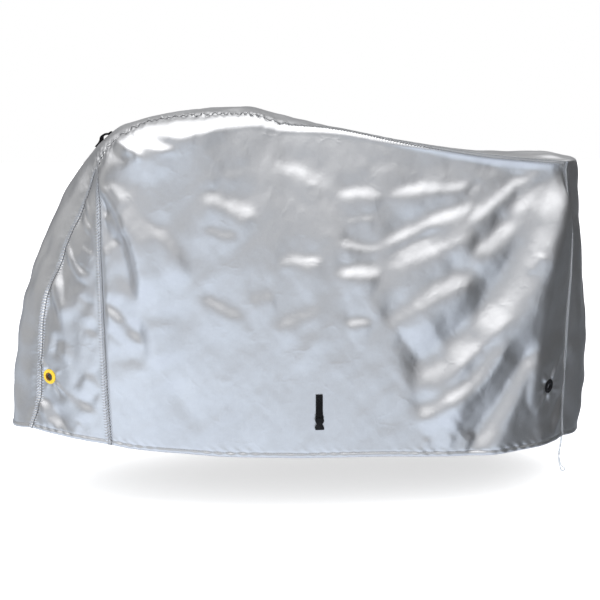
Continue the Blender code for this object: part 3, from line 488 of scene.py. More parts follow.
NEAR_FOLDS = fold_table("""
rack_a_front face 17 48  225,-230 300,-224 375,-232
rack_field face 70 130  330,-500 460,-400 600,-310 740,-225 860,-140
rack_a face 18 56  355,-245 410,-224 470,-214 540,-216 640,-196
rack_a_pit crest 7 -8  440,-205 458,-213 478,-206
rack_a_end crest 9 -18  598,-236 625,-212 652,-196
rack_b face 17 52  340,-378 410,-345 470,-318 530,-292 590,-276 655,-240
rack_b_crease crest 7 -10  600,-306 622,-280 645,-243
rack_b_shade crest 15 -42  380,-392 430,-370 500,-340 540,-325
rack_low face 18 42  365,-435 430,-404 480,-388 560,-362
rack_low_far face 16 28  520,-378 580,-353 650,-325
deck_c face 16 46  575,-338 640,-288 700,-240 760,-200 840,-170
deck_d face 21 66  590,-402 670,-362 720,-325 760,-275 830,-200
deck_shade crest 12 -10  660,-330 710,-285 750,-240 790,-205
seat_spot face 19 62  225,-440 290,-433 365,-442
seat_low_spot face 13 48  255,-578 295,-570 340,-573
seat_line face 12 34  235,-350 300,-368 370,-373
seat_faint face 10 22  250,-302 300,-293 355,-287
back_patch face 32 130  360,-590 430,-553 490,-515 545,-487 600,-465 655,-442
back_patch_two face 14 20  420,-600 470,-575 530,-550
corner_fold face 46 240  440,-775 530,-715 600,-660 660,-605 715,-545 755,-480 790,-415 820,-350 \
    845,-280 868,-210 885,-150
corner_valley crest 30 -28  500,-650 580,-600 650,-535 705,-455 750,-370 800,-270
corner_edge crest 17 48  530,-765 600,-700 660,-645 705,-600 750,-560
corner_pucker crest 12 36  775,-460 800,-425 825,-400
wheel_fold face 26 150  440,-855 510,-820 570,-787 620,-755 660,-712 690,-660 715,-610
wheel_valley crest 20 -30  570,-915 620,-845 665,-780 705,-715 735,-640
hub_fold face 26 170  605,-975 650,-935 690,-880 725,-820 755,-765 790,-712 825,-650
tail_valley crest 20 -20  745,-945 765,-870 785,-800 815,-730
tail_ridge_low crest 10 36  925,-560 922,-660 928,-740
rim_fold face 13 20  500,-925 520,-895 560,-870
bar_streak face 22 68  -135,-212 -80,-238 -30,-258 40,-285
bar_back face 14 18  -125,-195 -70,-172 0,-163
bar_low face 12 26  -130,-305 -70,-325 -20,-335
frame_streak face 18 34  50,-143 120,-160 165,-180 225,-212
frame_pit crest 6 -10  155,-186 170,-190 185,-187
frame_pit_two crest 6 -10  155,-214 170,-218 185,-214
frame_low face 15 38  75,-418 115,-398 155,-402 210,-396
neck_ridge face 18 50  -275,-275 -235,-315 -200,-355 -170,-400 -140,-455
sag_left face 18 50  -145,-485 -90,-512 -40,-540 0,-552
sag_right face 19 34  -10,-500 30,-495 75,-485
middle_streak face 20 46  55,-585 100,-562 150,-543 200,-515
middle_low crest 20 26  110,-700 155,-650 200,-590
hub_tick crest 10 12  -85,-733 -65,-725 -45,-724
brow_face_a face 11 60  -362,-290 -376,-250 -394,-200
brow_face_b face 8 22  -318,-262 -340,-228 -368,-192
brow_wedge face 12 62  -332,-350 -360,-315 -392,-272
brow_shade face 17 160  -294,-510 -301,-430 -313,-360 -335,-300 -358,-250 -394,-195
brow_shade_low face 22 90  -264,-700 -278,-620 -290,-540
brow_side crest 20 20  -275,-300 -255,-400 -245,-500 -230,-600
grip_wedge face 12 56  -165,-88 -205,-78 -245,-65 -292,-52
grip_low crest 11 40  -285,-85 -230,-105 -170,-110
pocket face 10 50  -297,-125 -330,-112 -360,-98
pocket_rim crest 9 52  -350,-82 -310,-98 -280,-122 -300,-140
pocket_line face 7 32  -268,-62 -283,-72 -302,-66
brow_pucker crest 8 -34  -388,-112 -385,-135 -380,-155
hub_streak face 13 85  -395,-505 -355,-545 -320,-590 -280,-632
hub_streak_two face 10 20  -395,-590 -370,-610 -340,-640
front_drape_two crest 28 -44  -220,-700 -180,-800 -120,-880
frame_drape crest 36 14  -60,-640 0,-780 50,-930
strap_pull crest 20 22  200,-860 160,-900 120,-945
upright_tick_a face 8 16  -398,-355 -380,-372 -360,-380
upright_tick_b face 8 12  -398,-452 -380,-470 -358,-478
hem_lift_a crest 12 22  470,-965 480,-930 500,-900
hem_lift_b crest 12 26  545,-968 550,-930 575,-895
hem_lift_c crest 12 30  600,-968 610,-935 635,-900
hem_lift_d crest 12 16  850,-975 855,-940 870,-900
hem_lift_e crest 11 36  905,-975 905,-930 912,-880
shoulder_shade face 22 24  300,-152 450,-166 600,-170 750,-172 880,-168
crown_wisp face 8 24  -125,-52 -165,-46 -205,-42
tail_turn face 30 110  905,-240 886,-350 868,-470 853,-600 842,-700
brow_field face 85 120  -390,-250 -300,-275 -200,-310 -110,-330
deck_e face 24 62  600,-425 680,-390 735,-340 775,-285
tail_pull face 12 85  905,-955 915,-900 935,-855 957,-800
""")
FAR_FOLDS = fold_table("""
brow_valley crest 22 -80  -370,-200 -320,-320 -290,-460 -280,-660
brow_face face 10 36  -340,-310 -360,-260 -390,-200
grip_valley crest 15 -60  -280,-50 -220,-68 -160,-90
neck_ridge face 16 46  -280,-260 -210,-330 -130,-440
bar_streak face 14 46  -120,-235 -50,-265 20,-310
frame_ridge face 15 40  40,-160 110,-172 190,-215
saddle_ridge face 14 54  330,-270 450,-225 610,-185
rack_ridge face 14 50  420,-395 540,-340 660,-265
deck_ridge face 13 42  610,-330 700,-255 800,-190
corner_fold face 27 150  500,-730 600,-660 700,-540 770,-420 830,-280 870,-165
corner_valley crest 28 -60  550,-600 640,-510 710,-400 770,-280
wheel_fold face 18 85  490,-860 600,-790 670,-710 720,-620
hub_fold face 18 90  660,-970 710,-880 760,-780 820,-660
frame_sag crest 34 -40  20,-520 160,-570 300,-460
middle_streak face 14 46  -90,-525 0,-492 80,-470
hub_streak face 15 50  -390,-530 -330,-600 -260,-660
hem_wave_front crest 34 45  -160,-800 -180,-870 -200,-940
hem_wave_rear crest 34 -45  300,-820 320,-880 330,-950
hem_lift crest 12 28  500,-965 510,-930 530,-890
seat_spot face 13 50  220,-335 300,-318 380,-325
""")
FRONT_FOLDS = fold_table("""
leaf face 16 95  -510,-610 -528,-560 -545,-500 -552,-435 -545,-355
leaf_shade crest 11 -50  -532,-345 -515,-400 -508,-460 -505,-540
second_leaf face 10 50  -425,-470 -460,-452 -485,-420 -500,-360
second_shade crest 8 -34  -488,-345 -470,-395 -448,-425 -418,-438
third_leaf face 10 48  -408,-345 -432,-322 -446,-285 -452,-240
third_shade crest 7 -30  -445,-240 -432,-285 -410,-318
brow_line face 8 36  -420,-295 -436,-250 -446,-195
brow_shade crest 6 -26  -436,-200 -424,-250 -411,-292
tick_a face 7 18  -450,-360 -430,-375 -408,-380
tick_b face 8 18  -470,-500 -440,-520 -408,-525
tick_c face 8 16  -450,-590 -430,-600 -408,-610
seam_groove crest 11 -46  -572,-500 -580,-580 -586,-660 -588,-715
eyelet_fall crest 14 -40  -535,-600 -540,-650 -548,-700
eyelet_side crest 14 26  -510,-620 -510,-680 -518,-730
foot_shade crest 18 -70  -600,-740 -575,-795 -550,-840 -510,-900
foot_ridge crest 15 55  -610,-800 -585,-850 -555,-895
foot_streak face 12 34  -545,-765 -490,-793 -415,-835
seam_blob face 12 30  -455,-710 -430,-735 -405,-760
foot_hem crest 11 28  -500,-915 -490,-885 -475,-855
""")
STRIP_FOLDS = fold_table("""
brow_groove crest 20 -36  920,-45 1000,-20 1080,-15
nose_ridge crest 18 36  500,50 620,35 750,45
nose_groove crest 16 -36  300,-60 450,-50 600,-65
fork_ridge crest 16 30  180,20 300,0 420,-10
foot_pull crest 12 30  20,-75 80,-50 130,-30
foot_pull_two crest 12 -30  10,-30 70,-10 140,0
deck_ridge crest 20 30  2050,60 2180,30 2300,40
deck_groove crest 18 -24  1900,-30 2050,-40 2200,-20
tail_ridge crest 18 48  2420,35 2600,20 2800,30
tail_groove crest 18 -48  2420,-30 2620,-45 2850,-30
tail_low crest 20 42  2850,-10 3000,10 3120,0
tail_side crest 16 -36  2750,70 2900,55 3050,65
""")
print("folds:", [len(rows) for rows in (NEAR_FOLDS, FAR_FOLDS, FRONT_FOLDS, STRIP_FOLDS)])

# %% Height of the folds
FOLD_SAMPLES, FOLD_FADE, FOLD_TAPER, FACE_REACH = 26, 0.030, 0.085, 3.2
WAVES = 28


def fold_line(points):
    """Evenly shared points of a smooth line through a fold's few points."""
    knots = running(points)
    at = np.linspace(0, knots[-1], FOLD_SAMPLES)
    k = np.clip(np.searchsorted(knots, at, side="right") - 1, 0, len(points) - 2)
    h = (knots[k + 1] - knots[k])[:, None]
    return hermite(points, np.gradient(points, knots, axis=0), k, h, (at - knots[k])[:, None] / h)


def fold_height(x, z, folds):
    """Sum of the folds' heights at points of a panel, seen square on."""
    total = np.zeros_like(x)
    for kind, half_width, height, points in folds:
        line = fold_line(points)
        reach = 7 * half_width
        low, high = line.min(axis=0) - reach, line.max(axis=0) + reach
        near = (x > low[0]) & (x < high[0]) & (z > low[1]) & (z < high[1])
        px, pz = x[near], z[near]
        best = np.full(px.shape, 1e9)
        place, left = np.zeros_like(px), np.zeros_like(px)
        for k, (start, step) in enumerate(zip(line[:-1], np.diff(line, axis=0))):
            dx, dz = px - start[0], pz - start[1]
            t = np.clip((dx * step[0] + dz * step[1]) / (step @ step), 0, 1)
            off = np.hypot(dx - t * step[0], dz - t * step[1])
            closer = off < best
            best = np.where(closer, off, best)
            place = np.where(closer, (k + t) / (FOLD_SAMPLES - 1), place)
            left = np.where(closer, (step[0] * dz - step[1] * dx) / np.hypot(*step), left)
        taper = min(0.30, FOLD_TAPER / whole_length(line))
        fade = ease(place / taper) * ease((1 - place) / taper)
        width = half_width * (0.6 + 0.4 * fade)
        if kind == "face":
            shape = -np.tanh(left / width) * np.exp(-(best / (FACE_REACH * width))**2)
        else:
            shape = np.exp(-(np.sqrt(best**2 + width**2) - width) / (0.55 * width))
        total[near] += height * fade * shape
    return total


def undulation(x, z, size, height, seed):
    """Soft dents of about one size, the same on each run."""
    random = np.random.default_rng(seed)
    total = np.zeros_like(x)
    for angle, phase, stretch in random.uniform(0, 1, (WAVES, 3)):
        k = 2 * math.pi / (size * (0.7 + 0.8 * stretch))
        turn = math.pi * angle
        total += np.sin(k * (x * math.cos(turn) + z * math.sin(turn)) + 2 * math.pi * phase)
    return height * total / math.sqrt(WAVES / 2)


print("a fold's line has", FOLD_SAMPLES, "points")

# %% [markdown]
# ## Gathers at the seams
# The long strip is sewn to the sides with a little too much cloth, so the seam over
# the crown is crinkled.  The height of the crinkles follows the distance along the
# seam, and they die out away from it.  Both panels use the same rule, so they meet.

# %% Height of the gathers and the hem
HEM_WIDTH, HEM_ROLL, HEM_GROOVE, HEM_PUCKER = 0.013, 0.0016, 0.0010, 0.0011
GATHER_WAVES, GATHER_REACH = (0.0215, 0.0147, 0.0371), 0.020
GATHERS = table("x height", """
front_hem -7000  5
brow      -4400  6
apex      -4000 16
crown_low -3400 36
crown     -1000 40
crown_end   600 36
slope      1400 12
slope_end  2600  2
rear      11000  2
""", TENTHS)


def gather_height(run, distance):
    """Height of the crinkles at a running length and a distance from the seam."""
    size = smooth(GATHERS["x"], GATHERS["height"], strip_section(run)[0])
    first, second, third = GATHER_WAVES
    wave = (np.sin(2 * math.pi * (run + 0.35 * distance) / first + 3 * np.sin(run * 31))
            + 0.8 * np.sin(2 * math.pi * (run - 0.5 * distance) / second + 2 * np.sin(run * 57))
            + 0.5 * np.sin(2 * math.pi * run / third))
    grow = 0.4 + 0.6 * ease(distance / 0.006)
    return size * grow * wave * np.exp(-(distance / GATHER_REACH)**1.3)


def hem_height(distance, run, pitch):
    """The turned hem: a soft roll, a groove at its stitches, and slanting puckers."""
    roll = HEM_ROLL * np.sin(math.pi * np.clip(distance / HEM_WIDTH, 0, 1))
    groove = -HEM_GROOVE * np.exp(-((distance - HEM_WIDTH) / 0.003)**2)
    slant = 2 * math.pi * (run + 0.9 * distance) / pitch + 2.2 * np.sin(run * 9)
    pucker = HEM_PUCKER * np.sin(slant) * (0.6 + 0.4 * np.sin(run * 23))
    fade = np.exp(-(np.clip(distance - HEM_WIDTH, 0, None) / 0.012)**2)
    return roll + groove + pucker * fade * ease(distance / 0.004 + 0.3)


print("hem is", HEM_WIDTH * MM, "mm wide")

# %% [markdown]
# ## Hanging the panels
# Each point of a panel is moved out along its normal by the folds, dents, gathers and
# hem.  Under an eyelet or the buckle's strap the cloth is pressed flat, and short
# creases run out from the eyelet's ring like a star.  A crease's row gives its
# direction in degrees, and its length, half width and height in tenths of a millimetre.

# %% Panels with their folds
EYELET_FLAT, STRAP_FLAT = 0.045, 0.060
FRONT_EYELET, REAR_EYELET = (-0.564, -0.740), (0.873, -0.796)
STRAP_PLACE, STRAP_FLAT_DROP = (0.187, -0.768), 0.047
CREASE_START = 0.0275
LARGE_DENTS, SMALL_DENTS, FRONT_DENTS = (0.110, 0.0005), (0.040, 0.00016), (0.060, 0.0007)
SIDE_PUCKERS, FRONT_PUCKERS, STRIP_PUCKERS = 0.031, 0.027, 0.029
EDGE_FADE = 0.01
FRONT_CREASES = [(118, 440, 58, 52), (-42, 560, 55, 52), (-57, 420, 50, -36), (-68, 340, 50, 30),
                 (150, 220, 50, 24), (35, 240, 50, 20), (-110, 240, 50, 18)]
REAR_CREASES = [(62, 840, 60, 68), (75, 490, 60, -36), (128, 360, 70, 60), (150, 280, 60, -34),
                (-122, 660, 60, 52), (-75, 560, 68, 40), (-98, 560, 68, -40), (-30, 460, 68, 40),
                (5, 260, 60, 26), (185, 360, 68, 30)]


def crease_height(x, z, place, creases):
    """Short creases that run out from a ring."""
    total = np.zeros_like(x)
    dx, dz = x - place[0], z - place[1]
    for degrees, *sizes in creases:
        length, half_width, height = (size / TENTHS for size in sizes)
        turn = math.radians(degrees)
        out = dx * math.cos(turn) + dz * math.sin(turn)
        off = dz * math.cos(turn) - dx * math.sin(turn)
        t = (out - CREASE_START) / length
        taper = ease((out - CREASE_START) / 0.006 + 1) * np.clip(1 - t, 0, 1)**1.2 * (t > -0.5)
        total += height * taper * np.exp(-(off / half_width)**2)
    return total


def flatten(points, place, flat):
    """Flatten a round patch of a panel; returns its centre and outward normal."""
    distance = np.hypot(points[..., 0] - place[0], points[..., 2] - place[1])
    x, y, z = points[distance < 1.6 * flat].T
    terms = np.stack([np.ones_like(x), x - place[0], z - place[1]], axis=-1)
    level, slope_x, slope_z = np.linalg.lstsq(terms, y, rcond=None)[0]
    centre = np.array([place[0], level, place[1]])
    normal = unit(np.array([-slope_x, 1.0, -slope_z]) * np.sign(level))
    weight = 1 - ease((distance - flat) / flat)
    points -= ((points - centre) @ normal * weight)[..., None] * normal
    return Vector(centre), Vector(normal)


def hang_side(side, folds, seed):
    """A side's points with folds and hem, and the spots under its eyelet and strap."""
    x, _, z = side_base
    points = to_points(side_base, side)
    normals = vertex_normals(points)
    down, over = running(points, 0), running(points, 1)
    back = over[:, -1:] - over
    fade = ease(down / FOLD_FADE) * ease(over / FOLD_FADE) * ease(back / FOLD_FADE)
    uneven = 1 + undulation(x, z, 0.170, 0.06, seed + 2)
    height = (fold_height(x, z, folds) * uneven + undulation(x, z, *LARGE_DENTS, seed)
              + undulation(x, z, *SMALL_DENTS, seed + 1)) * fade
    points += normals * height[..., None]
    rear_eye = flatten(points, REAR_EYELET, EYELET_FLAT)
    strap_spot = flatten(points, (STRAP_PLACE[0], STRAP_PLACE[1] - STRAP_FLAT_DROP), STRAP_FLAT)
    run = seam_between(APEX_BACK, REAR_CORNER, ALONG)
    fine = gather_height(run[None, :] + 0 * down, down) * ease(over / 0.02)
    hem = hem_height(down[-1:] - down, over, SIDE_PUCKERS)
    fine += hem * ease(over / EDGE_FADE) * ease(back / EDGE_FADE)
    fine += crease_height(x, z, REAR_EYELET, REAR_CREASES)
    points += vertex_normals(points) * fine[..., None]
    return points, rear_eye, strap_spot


def hang_front(side):
    """A front piece's points with folds and hem, and the spot under its eyelet."""
    x, _, z = front_base
    points = to_points(front_base, side)
    down, over = running(points, 0), running(points, 1)
    room = np.minimum(over, over[:, -1:] - over)
    fade = ease(down / FOLD_FADE) * ease(room / 0.022)
    height = (fold_height(x, z, FRONT_FOLDS) + undulation(x, z, *FRONT_DENTS, 5)) * fade
    points += vertex_normals(points) * height[..., None]
    front_eye = flatten(points, FRONT_EYELET, EYELET_FLAT)
    fine = hem_height(down[-1:] - down, over, FRONT_PUCKERS) * ease(room / EDGE_FADE)
    fine += crease_height(x, z, FRONT_EYELET, FRONT_CREASES)
    points += vertex_normals(points) * fine[..., None]
    return points, front_eye


TAGS = ("near", "far")
panels = {}
for tag, side, folds, seed in (("near", -1, NEAR_FOLDS, 11), ("far", 1, FAR_FOLDS, 23)):
    panels["side_" + tag], rear_eye, strap_spot = hang_side(side, folds, seed)
    panels["front_" + tag], front_eye = hang_front(side)
    panels[tag] = {"rear_eye": rear_eye, "strap": strap_spot, "front_eye": front_eye}
    print(tag, "eyelets at", [tuple(round(c, 4) for c in spot[0]) for spot in (front_eye, rear_eye)])

# %% [markdown]
# ## The strip and its lapped edges
# The strip is folded under along both edges, lapped a finger's width over the sides
# and stitched down twice.  So its grid goes on past the seam: the extra grid lines lie
# on the neighbouring panel at set distances from the seam, lifted by the cloth's
# thickness.  The front pieces are lapped over the sides in the same way.

# %% Lapped edges
LAP = np.array([0.0030, 0.0060, 0.0090, 0.0108])
LAP_LIFT, LAP_RISE, CORNER_TAPER = CLOTH + 0.0002, 0.009, 0.014
NEAREST, STRIP_FADE = 12, 0.03
STRIP_DENTS = (0.075, 0.0010, 31)


def beside(points, edge, room=None):
    """Points and normals on a panel at the lap's distances from one of its edges."""
    normals = vertex_normals(points)
    if edge == "first_row":
        points, normals = points.transpose(1, 0, 2), normals.transpose(1, 0, 2)
    if edge == "last_column":
        points, normals = points[:, ::-1], normals[:, ::-1]
    limit = np.minimum(1.0, 0.45 * running(points, 1)[:, -1] / LAP[-1])
    if room is not None:
        limit = np.minimum(limit, room / CORNER_TAPER)
    length = running(points[:, :NEAREST], 1)
    found, facing = (np.array([along(line[:NEAREST], at, LAP * share)
                               for line, at, share in zip(lines, length, limit)])
                     for lines in (points, normals))
    return found, unit(facing)


def strip_lap(tag):
    """The strip's lap over a front piece, a side's top and a side's rear edge."""
    front, side_panel = panels["front_" + tag], panels["side_" + tag]
    top = running(side_panel[:1], 1)[0]
    parts = [beside(front, "first_column"), beside(side_panel, "first_row", top[-1] - top),
             beside(side_panel, "last_column", running(side_panel[:, -1:])[:, 0])]
    found, facing = (np.concatenate([parts[0][k][::-1], parts[1][k], parts[2][k][1:]]) for k in (0, 1))
    return found + facing * LAP_LIFT, facing


def hang_strip():
    """The strip's points with folds, without its laps."""
    points = strip_base.copy()
    run = np.broadcast_to(strip_run[:, None], points.shape[:2])
    over, down = running(points, 1), running(points)
    room = np.minimum(over, over[:, -1:] - over)
    up = np.minimum(down, down[-1:] - down)
    height = (fold_height(run, points[..., 1], STRIP_FOLDS)
              + undulation(run, points[..., 1], *STRIP_DENTS)) * ease(room / STRIP_FADE)
    height += gather_height(run, room)
    height += hem_height(up, over, STRIP_PUCKERS) * ease(room / EDGE_FADE)
    height += LAP_LIFT * (1 - ease(room / LAP_RISE))
    return points + vertex_normals(points) * height[..., None]


strip_laps = {tag: strip_lap(tag) for tag in TAGS}
near_lap, far_lap = (strip_laps[tag][0] for tag in TAGS)
panels["gusset"] = np.concatenate([near_lap[:, ::-1], hang_strip(), far_lap], axis=1)
upright_laps = {}
for tag in TAGS:
    found, facing = beside(panels["side_" + tag], "first_column")
    upright_laps[tag] = (found + facing * LAP_LIFT, facing)
    front = panels["front_" + tag]
    over = running(front, 1)
    rise = LAP_LIFT * (1 - ease((over[:, -1:] - over) / LAP_RISE))
    front = front + vertex_normals(front) * rise[..., None]
    panels["front_lapped_" + tag] = np.concatenate([front, upright_laps[tag][0]], axis=1)
print("strip grid:", panels["gusset"].shape[:2])

# %% [markdown]
# ## Sheets of cloth
# A grid primitive is added and each of its vertices takes its place on the cover.  The
# UV map is in metres along the cloth, so the weave keeps its size on every panel.
# Attributes tell the finish how far each point is from its seam and along it, and,
# once a Solidify modifier has made the second layer, which layer faces inwards.  Along
# each sheet's side edges that value is set high on both layers too, which paints a
# dark line of shade where the sheets are lapped.

# %% Cloth panels
LAP_EDGE_SHADE = 0.85


def grid_piece(name, points, v_sign):
    """A grid primitive moved to a grid of points, with a UV map in metres along it."""
    select_only()
    rows, columns = points.shape[0] - 1, points.shape[1] - 1
    bpy.ops.mesh.primitive_grid_add(x_subdivisions=columns, y_subdivisions=rows, size=1)
    obj, mesh = bpy.context.object, bpy.context.object.data
    obj.name = mesh.name = name
    mesh.vertices.foreach_set("co", points.reshape(-1))
    flat = np.stack([running(points, 1), v_sign * running(points)], axis=-1).reshape(-1, 2)
    corner = np.zeros(len(mesh.loops), int)
    mesh.loops.foreach_get("vertex_index", corner)
    mesh.uv_layers.active.data.foreach_set("uv", flat[corner].reshape(-1))
    return obj, mesh


def store(mesh, name, values):
    """Keep a number for each vertex, for the finish to read."""
    data = mesh.attributes.new(name, "FLOAT", "POINT").data
    data.foreach_set("value", np.ascontiguousarray(values, np.float32).reshape(-1))


def mark_inner_layer_and_edge_shade(mesh, shape):
    """1 on the layer that faces inwards, and a little less along both layers' side edges, as painted shade
    at the laps.
    """
    place = np.zeros(3 * len(mesh.vertices))
    mesh.vertices.foreach_get("co", place)
    first, second = place.reshape(2, -1, 3)
    layers = np.zeros((2, *shape))
    layers[int(np.sum((first - second) * (first - INSIDE)) > 0)] = 1.0
    # Painted shade: both layers' side edges take most of the inner face's dark grey, as a shadow line along
    # the laps.
    layers[:, :, [0, -1]] = LAP_EDGE_SHADE
    store(mesh, "inner", layers)


def nearest_seam(points, edges):
    """Length along, and distance from, the nearest of a panel's sewn edges."""
    down, over = running(points), running(points, 1)
    choices = {"top": (over, down), "left": (down, over), "right": (down, over[:, -1:] - over)}
    run, gap = choices[edges[0]]
    for edge in edges[1:]:
        closer = choices[edge][1] < gap
        run, gap = (np.where(closer, new, old) for new, old in zip(choices[edge], (run, gap)))
    return run, gap


def cloth_sheet(name, points, *edges):
    """A sheet around a grid of points, with its attributes, and its area."""
    obj, mesh = grid_piece(name, points, -1)
    for label, values in zip(("seam_run", "seam_gap"), nearest_seam(points, edges)):
        store(mesh, label, values)
    mesh.update()
    bpy.ops.object.shade_smooth()
    face = mesh.polygons[0]
    if np.sum(np.array(face.normal) * (np.array(face.center) - INSIDE)) < 0:
        mesh.flip_normals()
    modify(obj, "SOLIDIFY", thickness=CLOTH, offset=0.0)
    mark_inner_layer_and_edge_shade(mesh, points.shape[:2])
    steps = np.cross(points[1:, :-1] - points[:-1, :-1], points[:-1, 1:] - points[:-1, :-1])
    area = float(np.sum(np.linalg.norm(steps, axis=-1)))
    print(name, "area", round(area, 3), "m2")
    return obj, area


cloth = {}
for tag in TAGS:
    for part, points, edges in (("side_", panels["side_" + tag], ("left", "right", "top")),
                                ("front_", panels["front_lapped_" + tag], ("right", "left"))):
        cloth[part + tag] = cloth_sheet("cloth_" + part + tag, points, *edges)
cloth["gusset"] = cloth_sheet("cloth_strip", panels["gusset"], "left", "right")

# %% [markdown]
# ## Holes for the eyelets
# A Boolean modifier subtracts a cylinder from the cloth, square on to it.  The hole is
# a little wider than the eyelet's barrel, so the ring drops in and its flange covers
# the cut edge.  Then each sheet is put on its body, and the solid it stands for is hidden.

EYELET_OUTER, EYELET_BACK = 0.0215, 0.0170
EYELET_BARREL, EYELET_BORE = 0.0125, 0.0095
EYELET_SEAT, EYELET_FLANGE = 0.0015, 0.0018
HOLE_PLAY = 0.0006


def frame_on(centre, normal, lift=0.0):
    """Placing matrix with X across, Y up along the cloth and Z out of it."""
    across = Vector((0, 0, 1)).cross(normal).normalized()
    matrix = Matrix((across, normal.cross(across), normal)).transposed().to_4x4()
    matrix.translation = centre + normal * lift
    return matrix


def combine(obj, other, operation):
    """Join a piece with another, or cut it away, and drop the other."""
    modify(obj, "BOOLEAN", operation=operation, solver="EXACT", object=other)
    bpy.data.objects.remove(other)


for tag in TAGS:
    for part, eye in (("side_", "rear_eye"), ("front_", "front_eye")):
        select_only()
        bpy.ops.mesh.primitive_cylinder_add(vertices=32, radius=EYELET_BARREL + HOLE_PLAY, depth=0.03)
        cutter = bpy.context.object
        settle(cutter, frame_on(*panels[tag][eye]))
        combine(cloth[part + tag][0], cutter, "DIFFERENCE")
for node_name, (obj, area) in cloth.items():
    hand_over(obj, node_name)

# %% [markdown]
# ## Stitches
# One stitch is a small flattened ball.  It is modelled once, and then copied along
# every seam and the hem, 4 mm apart, by working out each copy's place with numpy.
# All the copies become one mesh, because thousands of objects would be slow.

# %% Rows of stitches
STITCH_PITCH, STITCH_LENGTH, STITCH_WIDTH, STITCH_AHEAD = 0.0042, 0.0030, 0.0009, 0.002
THREAD_HEIGHT = CLOTH / 2 + 0.0001

select_only()
bpy.ops.mesh.primitive_uv_sphere_add(segments=6, ring_count=4, radius=0.5)
ball = bpy.context.object
ball.rotation_euler = (0, math.pi / 2, 0)
ball.scale = (STITCH_WIDTH * 0.8, STITCH_WIDTH, STITCH_LENGTH)
bpy.ops.object.transform_apply(location=True, rotation=True, scale=True)
BALL_VERTS = np.array([vertex.co for vertex in ball.data.vertices])
BALL_FACES = [tuple(face.vertices) for face in ball.data.polygons]
bpy.data.objects.remove(ball)


def stitch_row(line, facing):
    """Place, and three directions, of each stitch along a line."""
    length = running(line)
    at = np.arange(STITCH_PITCH / 2, length[-1], STITCH_PITCH)
    place, normal = along(line, length, at), along(facing, length, at)
    run = along(line, length, at + STITCH_AHEAD) - place
    keep = np.linalg.norm(run, axis=1) > 1e-4
    run = unit(run[keep])
    aside = unit(np.cross(normal[keep], run))
    return zip(place[keep], np.stack([run, aside, np.cross(run, aside)], axis=1))


def stitching(name, rows):
    """One mesh of all the stitches of some rows, given as lines with their normals."""
    verts = [place + BALL_VERTS @ axes for row in rows for place, axes in stitch_row(*row)]
    starts = range(0, len(verts) * len(BALL_VERTS), len(BALL_VERTS))
    faces = [tuple(start + k for k in face) for start in starts for face in BALL_FACES]
    mesh = bpy.data.meshes.new(name)
    mesh.from_pydata(np.concatenate(verts), [], faces)
    mesh.shade_smooth()
    obj = add_object(name, mesh)
    hand_over(obj)
    return obj


def lap_rows(found, facing):
    """Two rows of stitches on a lap, near its fold and near its edge."""
    return [(found[:, k] + facing[:, k] * THREAD_HEIGHT, facing[:, k]) for k in (0, 2)]


def hem_row(points):
    """A row of stitches at the hem's width above the last row of a panel."""
    length = running(points[::-1][:NEAREST])
    line, normal = (np.array([along(grid[::-1][:NEAREST, k], length[:, k], HEM_WIDTH)
                              for k in range(points.shape[1])])
                    for grid in (points, vertex_normals(points)))
    return line + normal * THREAD_HEIGHT, normal


thread_pieces = []
for tag in TAGS:
    rows = lap_rows(*strip_laps[tag]) + lap_rows(*upright_laps[tag])
    hems = [panels["side_" + tag], panels["front_" + tag]]
    if tag == "near":
        hems += [panels["gusset"], panels["gusset"][::-1]]
    thread_pieces.append(stitching("stitches_" + tag, rows + [hem_row(panel) for panel in hems]))

# %% [markdown]
# ## Eyelets
# An eyelet is a turned ring: a profile of its rim, flange, barrel and washer, spun
# round its axis.  In edit mode the profile's vertices are selected and the Spin
# operator sweeps them through a full turn.  Doubles are then merged, and a Bevel
# modifier rounds its edges.

# %% Turned eyelets
def recalculate(*before):
    """Run mesh operators on all of a piece in edit mode, and turn its faces outwards."""
    bpy.ops.object.mode_set(mode="EDIT")
    for operator, settings in before:
        bpy.ops.mesh.select_all(action="SELECT")
        operator(**settings)
    bpy.ops.mesh.select_all(action="SELECT")
    bpy.ops.mesh.normals_make_consistent(inside=False)
    bpy.ops.object.mode_set(mode="OBJECT")


def eyelet(name, node_name, spot):
    """A ring with a domed flange, a raised rolled collar and a washer behind the cloth."""
    face, outer = EYELET_SEAT, EYELET_SEAT + EYELET_FLANGE
    bore, rim = EYELET_BORE, EYELET_OUTER
    profile = [
        (bore, outer - 0.0006), (bore + 0.0008, outer + 0.0006), (bore + 0.0022, outer + 0.0008),
        (bore + 0.0036, outer), (bore + 0.0044, outer - 0.0005), (rim - 0.0065, outer - 0.0004),
        (rim - 0.0045, outer), (rim - 0.0018, outer - 0.0003), (rim, face + 0.0003),
        (rim - 0.0004, face - 0.0007), (EYELET_BARREL, face - 0.0007), (EYELET_BARREL, -face),
        (EYELET_BACK, -face), (EYELET_BACK - 0.001, -outer), (bore, -outer),
    ]
    edges = [(k, (k + 1) % len(profile)) for k in range(len(profile))]
    mesh = bpy.data.meshes.new(name)
    mesh.from_pydata([(radius, 0, height) for radius, height in profile], edges, [])
    obj = add_object(name, mesh)
    turn = dict(steps=48, angle=2 * math.pi, center=(0, 0, 0), axis=(0, 0, 1))
    recalculate((bpy.ops.mesh.spin, turn), (bpy.ops.mesh.remove_doubles, {"threshold": 0.00001}))
    round_edges(obj, 0.0004, 2, 25, 35)
    # The distance from the axis lets the finish paint shade round and inside the bore.
    store(mesh, "from_axis", [math.hypot(*vertex.co[:2]) for vertex in mesh.vertices])
    settle(obj, frame_on(*spot))
    hand_over(obj, node_name)
    return obj


